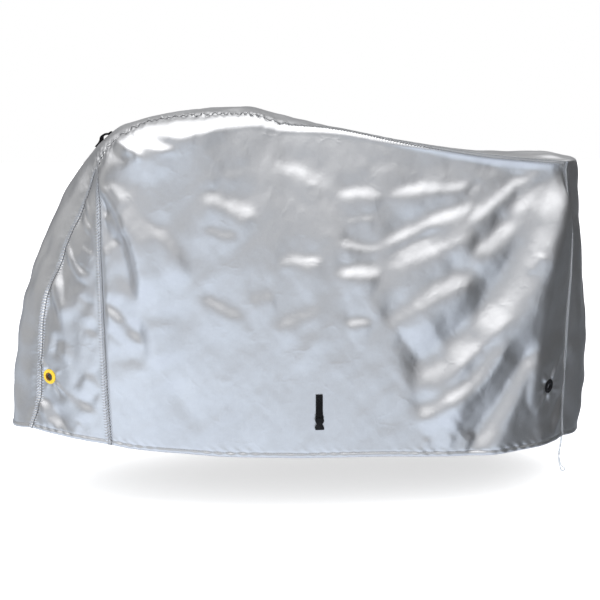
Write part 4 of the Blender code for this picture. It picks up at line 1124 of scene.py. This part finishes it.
rings = {"yellow_plastic": [], "black_plastic": []}
for tag in TAGS:
    for end, colour in (("front", "yellow_plastic"), ("rear", "black_plastic")):
        spot = panels[tag][end + "_eye"]
        rings[colour].append(eyelet(f"ring_{end}_{tag}", f"eyelet_{end}_{tag}", spot))

# %% [markdown]
# ## Webbing straps
# Webbing is a flat woven band.  Its course is a line seen from its edge: down on the
# cloth, round the buckle's bar and back up behind.  The line is swept to the band's
# width as a grid, with cross ribs every 1.6 mm, and Solidify gives its thickness.

# %% Webbing
STRAP_WIDTH, STRAP_LAYER, STRAP_LENGTH = 0.019, 0.0016, 0.0579
BUCKLE_LIFT, BAR_DEPTH, BAR_HEIGHT = 0.0060, 0.0034, 0.0032
RIB_PITCH, RIB_HEIGHT, GAP, STRAP_TURN = 0.0016, 0.00018, 0.0004, 0.0022


def rounded_course(corners, radius, step):
    """Evenly spaced points of a line whose corners are rounded."""
    corners = [np.array(c, float) for c in corners]
    points = [corners[0]]
    for before, corner, after in zip(corners, corners[1:], corners[2:]):
        ahead, back = after - corner, before - corner
        cut = min(radius, 0.48 * np.linalg.norm(ahead), 0.48 * np.linalg.norm(back))
        start, stop = corner + unit(back) * cut, corner + unit(ahead) * cut
        for t in np.linspace(0, 1, 7):
            points.append((1 - t)**2 * start + 2 * t * (1 - t) * corner + t**2 * stop)
    points = np.array(points + [corners[-1]])
    length = running(points)
    return along(points, length, np.linspace(0, length[-1], max(2, round(length[-1] / step)) + 1))


def webbing(name, node_name, corners, radius, width, thickness, matrix):
    """A ribbed band along a course of (out, up) points, in a placing matrix."""
    course = rounded_course(corners, radius, RIB_PITCH / 4)
    run = unit(np.gradient(course, axis=0))
    side = np.stack([-run[:, 1], run[:, 0]], axis=-1)
    rib = RIB_HEIGHT * np.sin(2 * math.pi * np.arange(len(course)) / 4)
    across = np.linspace(-0.5, 0.5, 9)
    edge = 1 - 0.25 * np.abs(2 * across)**6
    grid = np.zeros((len(course), len(across), 3))
    grid[..., 0] = across * width
    grid[..., 2:0:-1] = course[:, None, :] + side[:, None, :] * (rib[:, None] * edge)[..., None]
    obj, _ = grid_piece(name, grid, 1)
    modify(obj, "SOLIDIFY", thickness=thickness, offset=0.0)
    round_edges(obj, thickness * 0.3, 2, 60, 50)
    settle(obj, matrix)
    hand_over(obj, node_name)
    return obj


def strap(tag):
    """The doubled strap: its hidden end, the turn round the bar, and its visible face."""
    spot = panels[tag]["strap"]
    matrix = frame_on(*spot)
    back = CLOTH / 2 + GAP + STRAP_LAYER / 2
    face = back + STRAP_LAYER + 0.0003
    wrap = BAR_DEPTH / 2 + GAP + STRAP_LAYER / 2
    top = STRAP_FLAT_DROP
    bar = STRAP_FLAT_DROP - STRAP_LENGTH
    foot = bar - BAR_HEIGHT - GAP - STRAP_LAYER / 2
    corners = [
        (back, top), (back, bar + 0.012), (BUCKLE_LIFT - wrap, bar + 0.001), (BUCKLE_LIFT - wrap, foot),
        (BUCKLE_LIFT + wrap, foot), (BUCKLE_LIFT + wrap, bar + 0.001), (face, bar + 0.013), (face, top),
    ]
    obj = webbing("webbing_strap_" + tag, "strap_" + tag, corners, STRAP_TURN, STRAP_WIDTH,
                  STRAP_LAYER * 0.92, matrix)
    half, low, high, out = STRAP_WIDTH / 2 - 0.0025, top - 0.020, top - 0.0025, face + STRAP_LAYER / 2
    a, b, c, d = (matrix @ Vector((x, y, out))
                  for x, y in ((-half, low), (half, low), (half, high), (-half, high)))
    box = [np.array([start + (stop - start) * t for t in np.linspace(0, 1, 9)])
           for start, stop in ((a, b), (b, c), (c, d), (d, a), (a, c), (b, d))]
    return obj, [(line, np.broadcast_to(np.array(spot[1]), line.shape)) for line in box]


webbing_pieces, strap_boxes = [], []
for tag in TAGS:
    made, box = strap(tag)
    webbing_pieces.append(made)
    strap_boxes += box
strap_thread = stitching("stitches_strap", strap_boxes)

# %% [markdown]
# ## Buckle
# A side-release buckle has a socket and a plug.  Each half starts as a circle whose
# vertices are moved onto its outline, filled, and extruded to its thickness in edit
# mode.  A Boolean opens the slot for the webbing and the socket's hollow mouth, and a
# Bevel modifier rounds the moulded edges.  The far side carries the plug.

# %% Moulded buckle halves
BUCKLE_LENGTH, BUCKLE_DEPTH = 0.0395, 0.0094
SLOT_HALF, SLOT_HEIGHT = 0.0099, 0.0048
MOUTH_HALF, MOUTH_DEPTH, MOUTH_TOP = 0.0090, 0.0056, 0.0125
SOCKET_OUTLINE = "70,111 90,114 130,122 160,119 190,106 215,86 240,74 " \
                 "262,75 285,90 315,118 350,124 380,123 395,116"
PLUG_OUTLINE = "0,113 85,113 105,103 110,80 170,82 190,108 215,113 240,112 " \
               "290,96 330,72 330,56 290,52 130,56 125,18 310,16"
FRAME_OUTLINE = "0,113 110,113"


def moulded(name, outline, thickness):
    """A plate from its right half, as pairs of depth below the bar and half width."""
    right = [(half, -depth) for depth, half in pairs(outline, TENTHS)]
    outline = right + [(-x, y) for x, y in reversed(right)]
    select_only()
    bpy.ops.mesh.primitive_circle_add(vertices=len(outline), radius=0.01, fill_type="NGON")
    obj = bpy.context.object
    obj.name = obj.data.name = name
    for vertex, (x, y) in zip(obj.data.vertices, outline):
        vertex.co = (x, y, -thickness / 2)
    move = {"TRANSFORM_OT_translate": {"value": (0, 0, thickness)}}
    recalculate((bpy.ops.mesh.extrude_region_move, move))
    return obj


def cut_block(obj, size, middle):
    """Cut a box out of a piece, centred at a height."""
    select_only()
    bpy.ops.mesh.primitive_cube_add(size=1, location=(0, middle, 0))
    block = bpy.context.object
    block.scale = size
    bpy.ops.object.transform_apply(location=True, rotation=True, scale=True)
    combine(obj, block, "DIFFERENCE")


def place_buckle(obj, node_name, tag, rounding):
    """Round a half, and put it at the strap's lower end."""
    round_edges(obj, rounding, 3, 32, 40)
    matrix = frame_on(*panels[tag]["strap"], BUCKLE_LIFT)
    matrix.translation += matrix.col[1].to_3d() * (STRAP_FLAT_DROP - STRAP_LENGTH)
    settle(obj, matrix)
    hand_over(obj, node_name)


webbing_slot = ((2 * SLOT_HALF, SLOT_HEIGHT, 0.02), -BAR_HEIGHT - SLOT_HEIGHT / 2)
socket = moulded("moulded_socket", SOCKET_OUTLINE, BUCKLE_DEPTH)
bar = moulded("socket_bar", FRAME_OUTLINE, BAR_DEPTH)
cut_block(bar, *webbing_slot)
combine(socket, bar, "UNION")
mouth_length = BUCKLE_LENGTH - MOUTH_TOP + 0.006
cut_block(socket, (2 * MOUTH_HALF, mouth_length, MOUTH_DEPTH), -MOUTH_TOP - mouth_length / 2)
place_buckle(socket, "buckle_socket", "near", 0.0007)

plug = moulded("moulded_plug", PLUG_OUTLINE, BAR_DEPTH)
cut_block(plug, *webbing_slot)
place_buckle(plug, "buckle_plug", "far", 0.0005)

# %% [markdown]
# ## Grab loop
# A short loop of webbing is sewn across the strip's middle, high on the front.  It is
# doubled: one layer goes out over the arch and comes back below it.  Its lower end is
# folded into a thick knuckle, and under the arch a gap stays open.  Its course is read
# in pairs: length along the cloth, and height over it.

# %% Make the grab loop
LOOP_START, LOOP_REACH = (-0.419, -0.110), 0.012
LOOP_WIDTH, LOOP_LAYER, LOOP_TURN = 0.020, 0.0034, 0.0030
LOOP_COURSE = "0,30 140,33 225,60 270,98 315,112 380,104 450,88 520,30 600,28 " \
              "600,12 510,13 440,70 385,86 335,90 300,50 260,22 120,14 0,12"

crown_line = panels["gusset"][:, panels["gusset"].shape[1] // 2][:, [0, 2]]
crown_length = running(crown_line)
loop_zero = crown_length[np.argmin(np.linalg.norm(crown_line - LOOP_START, axis=1))]
loop_corners = []
for far_along, height in pairs(LOOP_COURSE, TENTHS):
    before, here, after = (along(crown_line, crown_length, loop_zero + far_along + step)
                           for step in (-LOOP_REACH, 0, LOOP_REACH))
    slope = unit(after - before)
    loop_corners.append(here + np.array([-slope[1], slope[0]]) * height)
loop_matrix = Matrix(((0, 0, 1, 0), (1, 0, 0, 0), (0, 1, 0, 0), (0, 0, 0, 1)))
webbing_pieces.append(webbing("webbing_loop", "front_loop", loop_corners, LOOP_TURN, LOOP_WIDTH,
                              LOOP_LAYER, loop_matrix))

# %% [markdown]
# ## Shared effects
# A shader node group keeps one effect in one place.  The first makes a plain weave: two
# sets of waves, one along each direction of the UV map, which is in metres.  The second
# makes the fine creases that stay in a coated cloth after it was folded, at two
# sizes.  The third gives a patchy value for wear and dust.

# %% Helpers for nodes
def feed(tree, made, *values, **named):
    """Feed a node's inputs, in order or by name, from sockets or with plain values."""
    for spot, value in [*enumerate(values), *named.items()]:
        socket = made.inputs[spot.replace("_", " ") if isinstance(spot, str) else spot]
        if isinstance(value, bpy.types.NodeSocket):
            tree.links.new(value, socket)
        elif value is not None:
            socket.default_value = value
    return made


def node(tree, kind, *values, **named):
    """A shader node.  A name with a capital is an input, and any other is a setting."""
    made = tree.nodes.new("ShaderNode" + kind)
    for key in [key for key in named if key[0].islower()]:
        setattr(made, key, named.pop(key))
    return feed(tree, made, *values, **named)


def maths(tree, operation, first, second=0):
    """One step of arithmetic."""
    return node(tree, "Math", first, second, operation=operation).outputs[0]


def times(tree, first, second):
    """A product."""
    return maths(tree, "MULTIPLY", first, second)


def remap(tree, *values):
    """A value moved from one range to another: value, from low, high, to low, high."""
    return node(tree, "MapRange", *values).outputs[0]


def noise(tree, place, scale, **settings):
    """Outputs of a noise texture."""
    return node(tree, "TexNoise", Vector=place, Scale=scale, **settings).outputs


def mixed(tree, factor, first, second):
    """A colour between two colours; the colours are a Mix node's seventh and eighth inputs."""
    unused = [None] * 5
    return node(tree, "Mix", factor, *unused, first, second, data_type="RGBA").outputs[2]


def bump(tree, height, strength, distance, normal=None):
    """A normal that a height tilts, after an earlier one."""
    return node(tree, "Bump", Height=height, Strength=strength, Distance=distance,
                Normal=normal).outputs[0]


def new_group(name, number, start, *results):
    """A group with a coordinate, a number and its results, and the group's two ends."""
    group = bpy.data.node_groups.new(name, "ShaderNodeTree")
    sockets = [("Coordinate", "INPUT", "Vector"), (number, "INPUT", "Float")]
    for label, way, kind in sockets + [(result, "OUTPUT", "Float") for result in results]:
        made = group.interface.new_socket(name=label, in_out=way, socket_type="NodeSocket" + kind)
        if label == number:
            made.default_value = start
    return group, group.nodes.new("NodeGroupInput").outputs, group.nodes.new("NodeGroupOutput")


# %% Weave group
def weave_group():
    """Height of a plain weave from a coordinate in metres and the threads' pitch."""
    group, given, end = new_group("plain_weave", "Threads per metre", 2000.0, "Height")
    parts = node(group, "SeparateXYZ", given[0]).outputs
    waves = [maths(group, "SINE", times(group, times(group, parts[axis], given[1]), math.pi))
             for axis in (0, 1)]
    feed(group, end, remap(group, times(group, *waves), -1, 1, 0, 1))
    return group


PLAIN_WEAVE = weave_group()
print("group", PLAIN_WEAVE.name)

# %% Crease group
def crease_group():
    """Heights of soft and sharp small creases in thin cloth."""
    group, given, end = new_group("handling_creases", "Size", 0.05, "Soft", "Sharp")
    place, scale = given[0], maths(group, "DIVIDE", 1.0, given[1])
    soft = noise(group, place, scale, Detail=3.0, Roughness=0.45, Distortion=0.4)
    wander = noise(group, place, scale, Detail=2.0)
    reach = (0.035, 0.035, 0.035)
    moved = node(group, "VectorMath", wander["Color"], reach, place, operation="MULTIPLY_ADD").outputs[0]
    cells = node(group, "TexVoronoi", Vector=moved, Scale=times(group, scale, 0.8),
                 feature="DISTANCE_TO_EDGE").outputs
    edge = remap(group, cells["Distance"], 0.0, 0.10, 1.0, 0.0)
    here_and_there = remap(group, wander["Fac"], 0.48, 0.62, 0.0, 1.0)
    feed(group, end, soft["Fac"], times(group, edge, here_and_there))
    return group


HANDLING_CREASES = crease_group()
print("group", HANDLING_CREASES.name)

# %% Wear group
def wear_group():
    """A patchy value between 0 and 1 at two sizes, for dust and dulled coating."""
    group, given, end = new_group("dulled_patches", "Size", 0.2, "Value")
    scale = maths(group, "DIVIDE", 1.0, given[1])
    layers = []
    for factor, detail, roughness, share in ((1.0, 4.0, 0.6, 0.7), (14.0, 2.0, 0.7, 0.3)):
        patches = noise(group, given[0], times(group, scale, factor), Detail=detail, Roughness=roughness)
        layers.append(times(group, patches["Fac"], share))
    feed(group, end, remap(group, maths(group, "ADD", *layers), 0.36, 0.64, 0.0, 1.0))
    return group


DULLED_PATCHES = wear_group()
print("group", DULLED_PATCHES.name)

# %% [markdown]
# ## Silver coated cloth
# The cloth is thin polyester with a pale aluminium coating.  It mirrors the light
# around it in a soft way: metallic, but rather rough.  Its inner face is plain grey.
# The bump chain adds its weave, the small creases from handling, and the puckers
# beside every seam, which follow the attributes that were stored with each panel.

# %% Make the silver cloth
CLOTH_COLOUR, CLOTH_DULLED, CLOTH_BACK_AND_EDGE_SHADE = (0.70, 0.705, 0.715, 1), 0.93, (0.11, 0.11, 0.115, 1)
PUCKER_LENGTH, PUCKER_SLANT, PUCKER_DRIFT = 0.0082, 260.0, 6.0
CREASE_SIZES, CLOTH_THREADS, WEBBING_THREADS = (0.055, 0.018), 2600.0, 900.0


def new_material(name, **constants):
    """A material with its tree, its shader with constant inputs, and its coordinates."""
    material = bpy.data.materials.new(name)
    material.use_nodes = True
    tree = material.node_tree
    shader = feed(tree, tree.nodes["Principled BSDF"], **constants)
    return material, tree, shader, node(tree, "TexCoord").outputs


def patchy(tree, shader, place, size, low, high):
    """Patches of a size that take the roughness from a low to a high value."""
    dull = node(tree, "Group", place["Object"], size, node_tree=DULLED_PATCHES).outputs[0]
    feed(tree, shader, Roughness=remap(tree, dull, 0, 1, low, high))
    return dull


def attribute(tree, name):
    """A number that was stored with each vertex."""
    return node(tree, "Attribute", attribute_name=name).outputs["Fac"]


def weave(tree, place, threads):
    """Height of a weave with so many threads in a metre."""
    return node(tree, "Group", place["UV"], threads, node_tree=PLAIN_WEAVE).outputs[0]


def silver_cloth():
    """Coated cloth: patchy coating outside, plain grey inside, painted shade along the sheets' side edges,
    and a chain of bumps.
    """
    material, tree, shader, place = new_material("silver_cloth_finish", IOR=1.5)
    dull = patchy(tree, shader, place, 0.22, 0.36, 0.28)
    darker = tuple(CLOTH_DULLED * c for c in CLOTH_COLOUR[:3]) + (1,)
    inner = attribute(tree, "inner")
    coating = mixed(tree, dull, darker, CLOTH_COLOUR)
    run, gap = attribute(tree, "seam_run"), attribute(tree, "seam_gap")
    drift = noise(tree, place["Object"], 38.0, Detail=2.0)["Fac"]
    slanting = maths(tree, "ADD", times(tree, run, 2 * math.pi / PUCKER_LENGTH),
                     times(tree, gap, PUCKER_SLANT))
    phase = maths(tree, "ADD", slanting, times(tree, drift, PUCKER_DRIFT))
    puckers = times(tree, maths(tree, "SINE", phase), remap(tree, gap, 0.004, 0.020, 1.0, 0.0))
    large, small = (node(tree, "Group", place["Object"], size, node_tree=HANDLING_CREASES).outputs
                    for size in CREASE_SIZES)
    normal = None
    for height, strength, distance in (
            (large["Soft"], 1.0, 0.0007), (large["Sharp"], 1.0, 0.00022), (small["Soft"], 1.0, 0.00030),
            (puckers, 1.0, 0.00125), (weave(tree, place, CLOTH_THREADS), 0.5, 0.00007)):
        normal = bump(tree, height, strength, distance, normal)
    # The inner attribute gives the inner face its grey, and also paints a line of shade along each sheet's
    # side edges.
    feed(tree, shader, Base_Color=mixed(tree, inner, coating, CLOTH_BACK_AND_EDGE_SHADE),
         Metallic=remap(tree, inner, 0, 1, 0.94, 0.10), Normal=normal)
    return material


def dress(material, *objs):
    """Give pieces a finish."""
    for obj in objs:
        obj.data.materials.clear()
        obj.data.materials.append(material)
    print(material.name, "on", len(objs))


dress(silver_cloth(), *(obj for obj, _ in cloth.values()))

# %% [markdown]
# ## Webbing, plastic and cord
# Webbing is matt black with a ribbed weave.  The moulded plastics are slightly glossy,
# with a fine grain and dust that dulls them in patches, and the yellow eyelets have
# painted shade, dark brown, round and inside their bore.  Thread and cord are pale, and
# the cord's finish has the slanted ribs of its braid.

# %% Make the black webbing
def black_webbing():
    """Matt black yarns with a ribbed weave."""
    material, tree, shader, place = new_material("black_webbing_finish", Specular_IOR_Level=0.05)
    patchy(tree, shader, place, 0.03, 0.86, 0.68)
    ribs = weave(tree, place, WEBBING_THREADS)
    feed(tree, shader, Base_Color=mixed(tree, ribs, (0.004, 0.004, 0.005, 1), (0.014, 0.014, 0.015, 1)),
         Normal=bump(tree, ribs, 0.8, 0.00025))
    return material


dress(black_webbing(), *webbing_pieces)

# %% Make the plastics
# Painted shade in the eyelet's bore fades out between these distances from its axis.
BORE_SHADE_START, BORE_SHADE_STOP = EYELET_BORE + 0.0024, EYELET_BORE + 0.0032


def plastic(name, colour, worn, low, high, gloss, bore_shade=None):
    """Moulded plastic with a fine grain, and roughness between low and high; a bore shade colour paints
    dark shade round and inside the hole.
    """
    material, tree, shader, place = new_material(name, Specular_IOR_Level=gloss)
    finish = mixed(tree, patchy(tree, shader, place, 0.02, low, high), colour, worn)
    # Painted shade: dark brown on the collar and in the bore, where the hole lies in shadow.
    if bore_shade:
        inner = remap(tree, attribute(tree, "from_axis"), BORE_SHADE_START, BORE_SHADE_STOP, 1.0, 0.0)
        finish = mixed(tree, inner, finish, bore_shade)
    grain = noise(tree, place["Object"], 900.0, Detail=2.0)["Fac"]
    feed(tree, shader, Base_Color=finish, Normal=bump(tree, grain, 0.5, 0.00008))
    return material


dress(plastic("black_plastic_finish", (0.004, 0.004, 0.005, 1), (0.012, 0.012, 0.013, 1), 0.32, 0.48, 0.12),
      *rings["black_plastic"], socket, plug)
dress(plastic("yellow_plastic_finish", (0.86, 0.60, 0.03, 1), (0.78, 0.52, 0.05, 1), 0.30, 0.45, 0.35,
              bore_shade=(0.20, 0.09, 0.02, 1)), *rings["yellow_plastic"])

# %% Make the thread and the cord
def braided(name, colour, shade, pitch):
    """Pale braid with slanted ribs."""
    material, tree, shader, place = new_material(name, Roughness=0.62, Specular_IOR_Level=0.3)
    ribs = node(tree, "TexWave", Vector=place["Object"], Scale=0.5 / pitch, Distortion=1.2, Detail=1.0,
                bands_direction="DIAGONAL").outputs["Fac"]
    feed(tree, shader, Base_Color=mixed(tree, ribs, shade, colour), Normal=bump(tree, ribs, 0.7, 0.0002))
    return material


dress(braided("draw_cord_finish", (0.72, 0.76, 0.80, 1), (0.42, 0.47, 0.53, 1), 0.0011), draw_cord)
dress(braided("thread_finish", (0.30, 0.315, 0.33, 1), (0.15, 0.16, 0.17, 1), 0.0006), *thread_pieces)
dress(braided("black_thread_finish", (0.035, 0.035, 0.037, 1), (0.012, 0.012, 0.013, 1), 0.0006),
      strap_thread)

# %% [markdown]
# ## Floor
# A big pale plane lies below the lowest point.  It isn't part of the cover.

# %% Lay the floor
FLOOR_LEVEL = -1.1316
select_only()
bpy.ops.mesh.primitive_plane_add(size=30, location=(0, 0, FLOOR_LEVEL))
floor = bpy.context.object
floor.name = "studio_floor"
floor.visible_glossy = False


def floor_finish():
    """A pale floor that glows a little, like a lit backdrop."""
    material, tree, shader, place = new_material(
        "pale_floor_finish", Specular_IOR_Level=0.2, Emission_Color=(1.0, 1.0, 1.0, 1),
        Emission_Strength=0.62)
    dull = patchy(tree, shader, place, 0.9, 0.75, 0.85)
    feed(tree, shader, Base_Color=mixed(tree, dull, (0.86, 0.87, 0.88, 1), (0.89, 0.90, 0.91, 1)))
    return material


dress(floor_finish(), floor)

# %% [markdown]
# ## Studio light
# Metallic cloth shows what is around it, so the surroundings matter as much as the
# lamps.  The world is a soft room: pale blue and grey in front, dark on the right, and
# white only where the camera looks straight at it.  A big soft lamp stands above.  The
# tables give its colour by height and its level from left to right, in thousandths.

# %% Light the studio
ROOM = table("up red green blue", """
floor       -1000  880  960 1120
floor_edge   -420  860  950 1090
sweep        -300  840  930 1050
sweep_far    -190  760  830  930
skirting      -90  650  685  745
horizon        10  530  545  575
wall          120  420  430  450
wall_middle   240  440  445  460
wall_high     360  600  605  620
under_boxes   480 1060 1060 1080
boxes         600 1450 1450 1470
ceiling      1000 1750 1750 1750
""")
SIDES = table("x level", """
far_left    -1000  360
left_end     -930  620
left_wall    -820 1050
left         -680 1200
left_lit     -500 1180
front_left   -200 1080
front          50 1070
front_right   400 1060
right         560  920
right_wall    680  480
right_end     800  130
far_right    1000   40
""")
DIM_BACK, DIM_ABOVE, WINDOW = 0.36, 0.30, 0.50


def ramp(tree, value, places, colours):
    """Colour ramp over values between -1 and 1."""
    made = node(tree, "ValToRGB", remap(tree, value, -1, 1, 0, 1))
    while len(made.color_ramp.elements) < len(places):
        made.color_ramp.elements.new(0.5)
    for element, at, colour in zip(made.color_ramp.elements, places, colours):
        element.position = 0.5 + 0.5 * at
        element.color = (*colour, 1)
    return made.outputs[0]


def room():
    """World colour by direction, white behind the object for the camera's own rays."""
    world = bpy.data.worlds.new("studio_room")
    bpy.context.scene.world = world
    world.use_nodes = True
    tree = world.node_tree
    tree.nodes.clear()
    x, y, z = node(tree, "SeparateXYZ", node(tree, "TexCoord").outputs["Generated"]).outputs
    by_height = ramp(tree, z, ROOM["up"], zip(ROOM["red"], ROOM["green"], ROOM["blue"]))
    by_side = ramp(tree, x, SIDES["x"], ((level,) * 3 for level in SIDES["level"]))
    around = times(tree, by_side, remap(tree, y, 0.30, 0.75, 1.0, DIM_BACK))
    above = times(tree, remap(tree, z, 0.20, 0.60, 0.0, 1.0), remap(tree, y, 0.45, 0.85, 1.0, DIM_ABOVE))
    shaded = node(tree, "VectorMath", by_height, operation="SCALE",
                  Scale=maths(tree, "MAXIMUM", around, above)).outputs[0]
    left = times(tree, remap(tree, x, -0.55, -0.85, 0.0, 1.0), remap(tree, y, -0.35, 0.0, 0.0, 1.0))
    window = times(tree, left, remap(tree, y, 0.45, 0.75, WINDOW, 0.0))
    lit = node(tree, "VectorMath", shaded, window, operation="MAXIMUM").outputs[0]
    light = node(tree, "Background", lit, Strength=1.0).outputs[0]
    white = node(tree, "Background", (1, 1, 1, 1)).outputs[0]
    seen = node(tree, "LightPath").outputs["Is Camera Ray"]
    node(tree, "OutputWorld", node(tree, "MixShader", seen, light, white).outputs[0])


LAMP_PLACE, LAMP_TARGET = Vector((-0.4, -1.6, 2.9)), Vector((0.1, 0, -0.4))
LAMP_SIZE, LAMP_WATTS = (2.6, 1.2), 24

bpy.context.scene.view_settings.view_transform = "Standard"
room()
bpy.ops.object.light_add(type="AREA", location=LAMP_PLACE)
lamp = bpy.context.object
lamp.name = "top_front"
lamp.data.shape = "RECTANGLE"
lamp.data.size, lamp.data.size_y = LAMP_SIZE
lamp.data.energy = LAMP_WATTS
lamp.data.color = (1.0, 1.0, 1.0)
lamp.rotation_euler = (LAMP_TARGET - LAMP_PLACE).to_track_quat("-Z", "Y").to_euler()
lamp.visible_camera = False
print("lamp:", lamp.name, LAMP_WATTS, "W")
